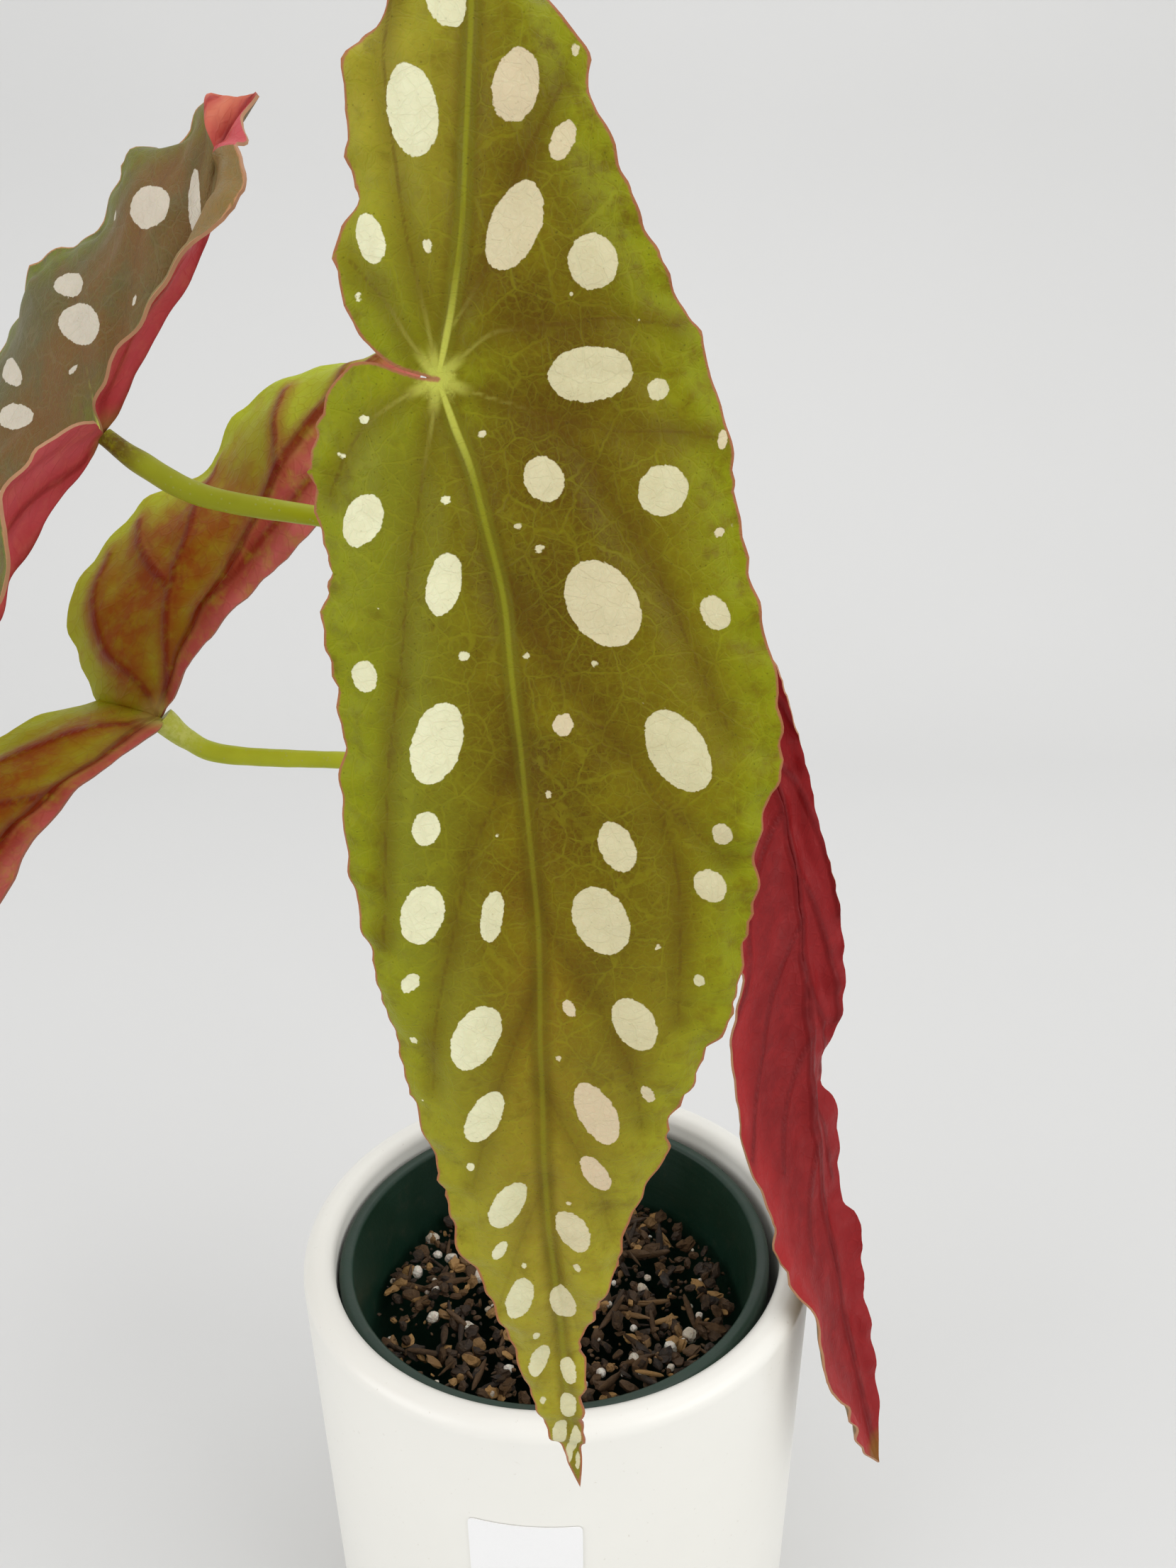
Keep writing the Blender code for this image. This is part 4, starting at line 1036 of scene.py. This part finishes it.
def spotField(plan, spots):
    # how far inside the nearest spot each place lies, in millimetres, and that spot's blush
    inside, blush = np.full(len(plan), -9.0), np.zeros(len(plan))
    for across, along, width, length, lean, pink in spots:
        a = math.radians(lean)
        dx, dz = plan[:, 0] - across, plan[:, 1] - along
        u = (dx * math.cos(a) - dz * math.sin(a)) / (width / 2)
        w = (dx * math.sin(a) + dz * math.cos(a)) / (length / 2)
        q = np.sqrt(u * u + w * w) + 1e-6
        slope = np.sqrt((u / (width / 2)) ** 2 + (w / (length / 2)) ** 2) / q + 1e-6
        depth = (1 - q) / slope
        closer = depth > inside
        blush = np.where(closer, pink, blush)
        inside = np.maximum(inside, depth)
    return inside, blush


def ruffle(places, scale, seed):
    # smooth made-up unevenness from a few waves
    rng = np.random.RandomState(seed)
    total = np.zeros(len(places))
    for k in range(9):
        way = rng.normal(size=places.shape[1])
        way = way / np.linalg.norm(way) * rng.uniform(0.6, 1.7) / scale
        total += np.sin(places @ way * 2 * math.pi + rng.uniform(0, 6.28)) / 9 ** 0.5
    return total


def toothed(edge, spine, leaf):
    # small uneven points along the margin, none by the stalk or the tip
    rng = random.Random(len(edge))
    run = runOf(edge)
    marks, heights = [0.0], [0.0]
    while marks[-1] < run[-1]:
        gap = rng.uniform(2.4, 6.4)
        marks += [marks[-1] + gap * rng.uniform(0.45, 0.7), marks[-1] + gap]
        heights += [rng.uniform(0.1, 0.8), rng.uniform(-0.4, 0.0)]
    spans = np.linspace(0, run[-1], 9)
    swell = np.interp(run, spans, [rng.uniform(0.25, 1.15) for span in spans])
    ends = fade(np.minimum(run * 2, run[-1] - run), 3, 20)
    reach = np.interp(run, marks, heights) * swell * leaf["teeth"] * ends
    across = edge - spine
    width = np.maximum(np.linalg.norm(across, axis=1), 1e-6)
    return edge + across * (reach / width)[:, None]


def leafSheet(leaf):
    # three grids that meet along the midrib: wide half, lobe by the notch, blade by the notch
    base = np.array(leaf["junction"])
    flat = len(leaf["lobeSpine"][0]) == 2
    lines = {}
    for key in ("lobeSpine", "lobeSinus", "lobeWide", "bladeSpine", "bladeSinus", "bladeWide"):
        points = hangFront(leaf[key]) if flat else leaf[key]
        lines[key] = smoothLine(points, leaf["rows"][0 if key.startswith("lobe") else 1])
    lobeRun, bladeRun = runOf(lines["lobeSpine"]), runOf(lines["bladeSpine"])
    lobeAlong, bladeAlong = lobeRun[-1] - lobeRun, -bladeRun
    join = lambda a, b: np.concatenate([a, b[1:]])
    grids = [(lines["lobeSpine"], lines["lobeSinus"], lobeAlong, -1, leaf["columns"][0]),
             (lines["bladeSpine"], lines["bladeSinus"], bladeAlong, -1, leaf["columns"][0]),
             (join(lines["lobeSpine"], lines["bladeSpine"]),
              join(lines["lobeWide"], lines["bladeWide"]),
              join(lobeAlong, bladeAlong), 1, leaf["columns"][1])]
    places, plans, faces, edges = [], [], [], []
    start = 0
    for spine, edge, along, sign, columns in grids:
        edge = toothed(edge, spine, leaf)
        edges.append(edge + base)
        u = np.linspace(0, 1, columns + 1)
        across = edge - spine
        width = np.linalg.norm(across, axis=1)
        rise = np.cross(across, np.gradient(spine, axis=0))
        size = np.linalg.norm(rise, axis=1, keepdims=True)
        rise = rise / np.maximum(size, 1e-6) * (size > 1e-3)
        arch = -sign * leaf.get("puff", 0.06) * width[:, None, None] * rise[:, None, :] \
            * np.sin(np.pi * u)[None, :, None]
        grid = spine[:, None, :] + across[:, None, :] * u[None, :, None] + arch
        if flat:
            plan = grid[:, :, [0, 2]]
        else:
            plan = np.stack([sign * width[:, None] * u[None, :],
                             np.repeat(along[:, None], columns + 1, 1)], axis=2)
        if sign > 0:
            grid, plan = grid[:, ::-1], plan[:, ::-1]
        rows, wide = grid.shape[:2]
        index = start + np.arange(rows * wide).reshape(rows, wide)
        faces.append(np.stack([index[:-1, :-1], index[:-1, 1:], index[1:, 1:], index[1:, :-1]],
                              axis=2).reshape(-1, 4))
        places.append(grid.reshape(-1, 3))
        plans.append(plan.reshape(-1, 2))
        start += rows * wide
    tips = [lines["lobeSpine"][0] + base, lines["bladeSpine"][-1] + base]
    places, plans = np.concatenate(places) + base, np.concatenate(plans)
    return places, plans, np.concatenate(faces), edges, tips, flat


def setField(mesh, name, values):
    field = mesh.attributes.get(name) or mesh.attributes.new(name, "FLOAT", "POINT")
    field.data.foreach_set("value", np.asarray(values, dtype=np.float32))


def getField(mesh, name):
    values = np.zeros(len(mesh.vertices), dtype=np.float32)
    mesh.attributes[name].data.foreach_get("value", values)
    return values.astype(float)


def addLeaf(leaf, spots, veins, surfaces):
    places, plan, faces, edges, tips, flat = leafSheet(leaf)
    mesh = bpy.data.meshes.new(leaf["name"])
    mesh.from_pydata((places / 1000).tolist(), [], faces.tolist())
    setField(mesh, "across", plan[:, 0])
    setField(mesh, "up", plan[:, 1])
    blade = bpy.data.objects.new(leaf["name"], mesh)
    bpy.context.collection.objects.link(blade)
    pickOnly(blade)
    bpy.ops.object.mode_set(mode="EDIT")
    bpy.ops.mesh.select_all(action="SELECT")
    bpy.ops.mesh.remove_doubles(threshold=0.00002)
    bpy.ops.mesh.dissolve_degenerate(threshold=0.000002)
    bpy.ops.mesh.normals_make_consistent(inside=False)
    bpy.ops.object.mode_set(mode="OBJECT")
    facing = sum((p.normal * p.area for p in mesh.polygons), Vector())
    if facing.dot(Vector(leaf["above"])) < 0:
        mesh.flip_normals()
    plan = np.column_stack([getField(mesh, "across"), getField(mesh, "up")])
    places = np.array([v.co[:] for v in mesh.vertices]) * 1000
    normals = np.array([v.normal[:] for v in mesh.vertices])
    edgeNear = nearRuns(places, [e[::2] for e in edges], False)
    tipNear = np.min([np.linalg.norm(places - tip, axis=1) for tip in tips], axis=0)
    if flat:
        ribNear = nearRuns(plan, [frontRib, leaf["bladeSpine"]])
    else:
        ribNear = np.abs(plan[:, 0])
    veinNear = nearRuns(plan, veins)
    hub = np.linalg.norm(plan, axis=1)
    # pads between the veins, a groove with a raised rib in it, and a ruffled edge
    lift = leaf["pads"] * (fade(veinNear, 0.0, 5.5) - 0.5) * fade(edgeNear, 0, 5) * fade(hub, 2, 14)
    rib = 0.5 * np.exp(-(ribNear / 0.6) ** 2) * fade(edgeNear, 0, 6)
    lift += -1.0 * np.exp(-(ribNear / 2.6) ** 2) + rib
    lift += 0.12 * ruffle(plan, 7, 3) + 0.30 * ruffle(plan, 24, 8)
    lift += leaf["ripple"] * ruffle(places, 11, 5) * fade(edgeNear, 7, 0.5) * fade(hub, 8, 22)
    lift *= fade(hub, 0.5, 6) * (0.08 + 0.92 * fade(tipNear, 2, 16))
    if "curl" in leaf:  # the lobe's tip is rolled over, so that its other face shows
        past = plan[:, 1] - leaf["curl"]
        lift += 1.3 * np.exp(-(past / 1.5) ** 2) - 1.6 * fade(past, 0.5, 9)
    moved = places + normals * lift[:, None]
    mesh.vertices.foreach_set("co", (moved / 1000).ravel())
    mesh.update()
    inside, blush = spotField(plan, spots)
    for name, values in (("spot", inside), ("blush", blush), ("vein", veinNear), ("rib", ribNear),
                         ("edge", edgeNear), ("hub", hub)):
        setField(mesh, name, np.clip(values, -9, 60))
    if mesh.uv_layers:
        mesh.uv_layers.remove(mesh.uv_layers[0])
    layer = mesh.uv_layers.new(name="leafMap")  # real size, in centimetres
    corners = np.array([l.vertex_index for l in mesh.loops])
    layer.data.foreach_set("uv", (plan[corners] / 10).astype(np.float32).ravel())
    for surface in surfaces:  # top, underside and rim
        mesh.materials.append(surface)
    skin = blade.modifiers.new("skin", "SOLIDIFY")
    skin.thickness = leaf["thick"] / 1000
    skin.offset = 0
    skin.material_offset = 1
    skin.material_offset_rim = 2
    applyAllModifiers(blade)
    if "curl" in leaf:
        up = getField(blade.data, "up")
        for face in blade.data.polygons:
            if face.material_index < 2 and up[list(face.vertices)].mean() > leaf["curl"]:
                face.material_index = 1 - face.material_index
    smoothByAngle(blade, 60)
    standFor(blade, leaf["name"], leaf["node"])
    print(leaf["name"], "with", len(blade.data.polygons), "faces")


topLook = {
    "front": {"green": (0.182, 0.184, 0.009), "olive": (0.168, 0.130, 0.002),
              "brown": (0.100, 0.057, 0.001),
              "glow": (0.20, 0.115, 0.002), "lime": (0.235, 0.262, 0.003),
              "pale": (0.375, 0.315, 0.032),
              "rib": (0.25, 0.26, 0.012), "vein": (0.10, 0.05, 0.003), "net": (0.30, 0.31, 0.012),
              "spotLit": (0.80, 0.79, 0.53), "spotShaded": (0.60, 0.565, 0.33),
              "blush": (0.64, 0.50, 0.34),
              "margin": (0.36, 0.12, 0.07)},
    "aged": {"green": (0.108, 0.100, 0.036), "olive": (0.100, 0.084, 0.032),
             "brown": (0.150, 0.072, 0.022),
             "glow": (0.13, 0.08, 0.03), "lime": (0.14, 0.170, 0.016), "pale": (0.26, 0.13, 0.046),
             "rib": (0.15, 0.12, 0.05), "vein": (0.09, 0.05, 0.025), "net": (0.19, 0.17, 0.08),
             "spotLit": (0.66, 0.60, 0.50), "spotShaded": (0.52, 0.47, 0.38),
             "blush": (0.62, 0.47, 0.36),
             "margin": (0.46, 0.22, 0.10)}}

underLook = {
    "front": {"middle": (0.21, 0.060, 0.014), "side": (0.26, 0.21, 0.02),
              "vein": (0.15, 0.018, 0.010),
              "halo": (0.20, 0.035, 0.014), "pink": (0.24, 0.050, 0.020),
              "deep": (0.18, 0.03, 0.01),
              "dry": (0.24, 0.09, 0.02), "joint": (0.42, 0.34, 0.10)},
    "upper": {"middle": (0.44, 0.040, 0.045), "side": (0.54, 0.15, 0.085),
              "vein": (0.28, 0.018, 0.018),
              "halo": (0.38, 0.028, 0.030), "pink": (0.50, 0.078, 0.090),
              "deep": (0.42, 0.038, 0.042),
              "dry": (0.24, 0.09, 0.02), "joint": (0.30, 0.14, 0.04)},
    # lower left leaf: its lime "side" colour is painted light shining through the leaf from behind
    "lower": {"middle": (0.33, 0.115, 0.008), "side": (0.40, 0.48, 0.012),
              "vein": (0.22, 0.020, 0.006),
              "halo": (0.28, 0.040, 0.009), "pink": (0.60, 0.150, 0.130),
              "deep": (0.42, 0.060, 0.045),
              "dry": (0.24, 0.09, 0.02), "joint": (0.55, 0.52, 0.13)},
    # right leaf: the dark "middle" against the much brighter "side" is painted shade and highlight
    # on its ripples
    "red": {"middle": (0.190, 0.009, 0.010), "side": (0.33, 0.019, 0.020),
            "vein": (0.14, 0.007, 0.008),
            "halo": (0.20, 0.010, 0.011), "pink": (0.245, 0.012, 0.014),
            "deep": (0.22, 0.010, 0.011),
            "dry": (0.20, 0.075, 0.012), "joint": (0.34, 0.16, 0.05)}}


def topSurface(name, look, warmSide):
    s = Surface(name, Subsurface_Weight=0.06, Subsurface_Scale=0.003, Specular_IOR_Level=0.10)
    flat = s.place(source="UV")  # centimetres over the leaf
    spot, edge, vein, rib, hub = (s.attribute(n) for n in ("spot", "edge", "vein", "rib", "hub"))
    across, up, blush = s.attribute("across"), s.attribute("up"), s.attribute("blush")
    cloud = s.noise(flat, 0.9, 4, 0.6)
    mottle = s.noise(flat, 3.6, 5, 0.65)
    fine = s.noise(flat, 16, 4, 0.7)
    ragged = (s.noise(flat, 5.5, 5, 0.62, 0.4) - 0.5) * 1.35
    ragged = ragged + (s.noise(flat, 22, 3, 0.6) - 0.5) * 0.5
    # ground colour: greener on the notch's side, browner by the midrib, lime by the edge,
    # paler at both ends
    colour = s.mix(s.spread(across, -7, 9), look["green"], look["olive"])
    warm = s.spread(abs(across - warmSide), 19, 3) * s.spread(cloud, 0.28, 0.58)
    warm = warm * s.spread(up, -125, -70, 0.45, 1.0)
    colour = s.mix(warm, colour, look["brown"])
    glow = s.spread(rib, 9, 0.5) * s.spread(up, -45, -85)
    colour = s.mix(glow * s.spread(cloud, 0.25, 0.6, 0.3, 0.85), colour, look["glow"])
    green = s.spread(edge, 12, 1.0) * s.spread(mottle, 0.26, 0.6)
    colour = s.mix(green * 0.9, colour, look["lime"])
    ends = s.most(s.spread(up, -62, -150, 0.0, 0.85),
                  s.spread(up, 4, 34, 0.0, 0.85) * s.spread(across, 9, -6, 0.12, 1.0))
    colour = s.mix(ends * s.spread(mottle, 0.2, 0.7, 0.6, 1.0), colour, look["pale"])
    colour = s.mix(s.spread(fine, 0.35, 0.75, 0.0, 0.22), colour, look["lime"])
    colour = s.mix(s.spread(s.noise(flat, 2.2, 5, 0.6), 0.52, 0.75, 0.0, 0.5), colour,
                   look["brown"])
    # net of fine veins, wide meshes over narrow ones
    bentFlat = s.bent(flat, 6.0, 0.09)
    net = s.cells(bentFlat, 5.2, "DISTANCE_TO_EDGE")
    wideNet = s.cells(bentFlat, 1.7, "DISTANCE_TO_EDGE")
    tinyNet = s.cells(bentFlat, 9.5, "DISTANCE_TO_EDGE")
    netLine = s.most(s.spread(net, 0.075, 0.015, 0.0, 0.7),
                     s.spread(wideNet, 0.034, 0.01, 0.0, 1.0))
    netLine = s.most(netLine, s.spread(tinyNet, 0.11, 0.02, 0.0, 0.35))
    netShow = netLine * s.spread(mottle, 0.3, 0.62, 0.1, 0.27)
    colour = s.mix(netShow, colour, look["net"])
    # side veins lie in soft valleys, darkened with painted shade in brown
    valleyShade = s.spread(vein, 3.2, 0.0) * s.spread(up, -150, -80, 0.35, 1.0)
    colour = s.mix(valleyShade * s.spread(cloud, 0.25, 0.7, 0.25, 0.6), colour, look["brown"])
    thin = s.spread(vein, 0.4, 0.1) * s.spread(up, -130, -60, 0.15, 0.42)
    colour = s.mix(thin, colour, look["vein"])
    colour = s.mix(s.spread(rib, 2.4, 0.7) * 0.5, colour, look["brown"])
    # painted shade on the raised rib's flanks near the stalk, in the plain green
    ribFlankShade = s.spread(rib, 1.5, 0.7) * s.spread(hub, 80, 15, 0.0, 0.5)
    colour = s.mix(ribFlankShade, colour, look["green"])
    ribLine = s.most(s.spread(rib, 0.52, 0.12) * s.spread(up, 0.5, -0.5), s.spread(rib, 0.36, 0.12))
    colour = s.mix(ribLine * s.spread(hub, 90, 15, 0.16, 0.8), colour, look["rib"])
    # the pale star where the stalk joins, running out along the veins
    lines = s.most(s.spread(vein, 0.42, 0.08, 0.0, 0.42), s.spread(rib, 0.5, 0.18))
    star = s.most(s.spread(hub + ragged * 2.6, 3.2, 0.9), s.spread(hub, 15, 2) * lines)
    star = s.most(star, s.spread(hub, 5.2, 2.0) * s.spread(vein, 1.1, 0.2, 0.0, 0.8))
    colour = s.mix(star * 0.85, colour, (0.53, 0.55, 0.09))
    # pin-prick pores
    pits = s.spread(s.cells(flat, 11), 0.16, 0.07) * s.spread(mottle, 0.35, 0.6, 0.15, 0.6)
    colour = s.mix(pits, colour, s.mix(0.6, colour, (0.03, 0.02, 0.0)))
    # spots, ragged at the rim, with a few stray specks
    mask = s.spread(spot + ragged * 0.62, -0.07, 0.07)
    stray = s.spread(s.cells(flat, 1.15), 0.036, 0.026) * s.spread(edge, 1.0, 2.0)
    stray = stray * s.spread(s.noise(flat, 1.3, 1), 0.52, 0.56)
    # painted shade: spots lighter towards the notch's side and darker towards the wide half, with
    # some random tone from the mottle
    paintedSpotShade = s.spread(across, -3, 12, 0.0, 0.75) + s.spread(mottle, 0.3, 0.7, 0.0, 0.25)
    spotColour = s.mix(paintedSpotShade, look["spotLit"], look["spotShaded"])
    spotColour = s.mix(blush, spotColour, look["blush"])
    spotColour = s.mix(netLine * 0.1, spotColour, (0.5, 0.5, 0.26))
    spotColour = s.mix(s.spread(fine, 0.5, 0.8, 0.0, 0.35), spotColour, look["spotLit"])
    spotColour = s.mix(pits * 0.5, spotColour, (0.4, 0.36, 0.22))
    mask = s.most(mask, stray)
    colour = s.mix(mask, colour, spotColour)
    # thin coloured margin
    rimLine = s.spread(edge + (fine - 0.5) * 0.5, 0.52, 0.18)
    colour = s.mix(rimLine * 0.85, colour, look["margin"])
    rough = s.spread(mottle, 0.3, 0.7, 0.34, 0.46) + mask * 0.1
    height = netLine * -0.5 + pits * -0.6 + fine * 0.35 + mask * -0.3
    return s.finish(colour, rough, s.bump(height, 0.00022, 0.55))


def underSurface(name, look):
    s = Surface(name, Subsurface_Weight=0.08, Subsurface_Scale=0.003, Specular_IOR_Level=0.14)
    flat = s.place(source="UV")
    edge, vein, rib, hub = (s.attribute(n) for n in ("edge", "vein", "rib", "hub"))
    cloud = s.noise(flat, 0.8, 4, 0.6)
    mottle = s.noise(flat, 4, 5, 0.65)
    net = s.cells(flat, 4.2, "DISTANCE_TO_EDGE")
    netLine = s.spread(net, 0.12, 0.01)
    across, up = s.attribute("across"), s.attribute("up")
    pinkHalf = s.spread(across, 0.5, -2.5) * s.spread(mottle, 0.25, 0.65, 0.75, 1.0)
    pinkTone = s.mix(s.spread(across, -6, -1), look["pink"], look["deep"])
    # random patches of the "side" colour over the "middle": painted highlight streaks on the right
    # leaf, painted light through the leaf on the lower left leaf
    patch = s.spread(s.noise(flat, 1.6, 4, 0.6), 0.40, 0.64)
    colour = s.mix(patch * 0.32, look["middle"], look["side"])
    colour = s.mix(pinkHalf, colour, pinkTone)
    # the rim of the wide half and the top of the lobe take the "side" colour; on the lower left
    # leaf that lime is painted light shining through the leaf, on the right leaf the brighter
    # crimson is painted highlight
    outer = s.spread(edge, 13, 2) * s.spread(across, -3, 3, 0.0, 1.0)
    outer = s.most(outer, s.spread(up, 40, 62) * s.spread(across, -4, 4, 0.0, 0.95))
    colour = s.mix(outer * s.spread(cloud, 0.2, 0.5, 0.45, 1.0), colour, look["side"])
    colour = s.mix(netLine * s.spread(mottle, 0.3, 0.7, 0.03, 0.14), colour, look["vein"])
    ribSideHighlight = s.spread(rib, 6.5, 2.5) * s.spread(across, 0.5, -1.0)  # painted highlight: paler pink beside the midrib
    colour = s.mix(ribSideHighlight * 0.35, colour, look["pink"])
    colour = s.mix(s.spread(vein, 4.2, 0.2, 0.0, 0.7), colour, look["halo"])
    colour = s.mix(s.spread(rib, 5.5, 0.5) * s.spread(across, -0.5, 1.0, 0.2, 0.7), colour,
                   look["halo"])
    colour = s.mix(s.spread(vein, 1.1, 0.2) * 0.7, colour, look["vein"])
    colour = s.mix(s.spread(rib, 1.6, 0.4) * 0.85, colour, look["vein"])
    colour = s.mix(s.spread(hub, 7, 1.5, 0.0, 0.85), colour, look["joint"])
    # more patches and a thin rim of the "side" colour, painted light on the lower left and right
    # leaves as above
    colour = s.mix(s.spread(s.noise(flat, 2.5, 5, 0.65), 0.45, 0.75, 0.0, 0.35), colour,
                   look["side"])
    colour = s.mix(s.spread(edge, 0.7, 0.25, 0.0, 0.6) * s.spread(across, -2, 2), colour,
                   look["side"])
    dry = s.spread(up + mottle * 3.0, -186, -190)
    colour = s.mix(dry, colour, look["dry"])
    height = s.spread(vein, 1.4, 0.1) * 1.6 + netLine * 0.16 + s.spread(rib, 1.8, 0.4) * 3.0
    return s.finish(colour, s.spread(mottle, 0.3, 0.7, 0.42, 0.58), s.bump(height, 0.0004, 0.6))


def rimSurface(name, look):
    s = Surface(name, Roughness=0.5)
    return s.finish(s.mix(s.noise(s.place(), 300, 3), look["margin"],
                          tuple(c * 0.7 for c in look["margin"])))


def leafSurfaces(name, top, under, warmSide):
    return [topSurface(name + "Top", topLook[top], warmSide),
            underSurface(name + "Under", underLook[under]), rimSurface(name + "Rim", topLook[top])]


addLeaf(frontLeaf, frontSpots, frontVeins, leafSurfaces("frontLeaf", "front", "front", 14))
addLeaf(upperLeftLeaf, upperSpots, otherVeins, leafSurfaces("upperLeaf", "aged", "upper", 14))
addLeaf(lowerLeftLeaf, otherSpots, lowerVeins, leafSurfaces("lowerLeaf", "front", "lower", 4))
addLeaf(rightLeaf, otherSpots, otherVeins, leafSurfaces("rightLeaf", "aged", "red", 4))
print("leaves hung")
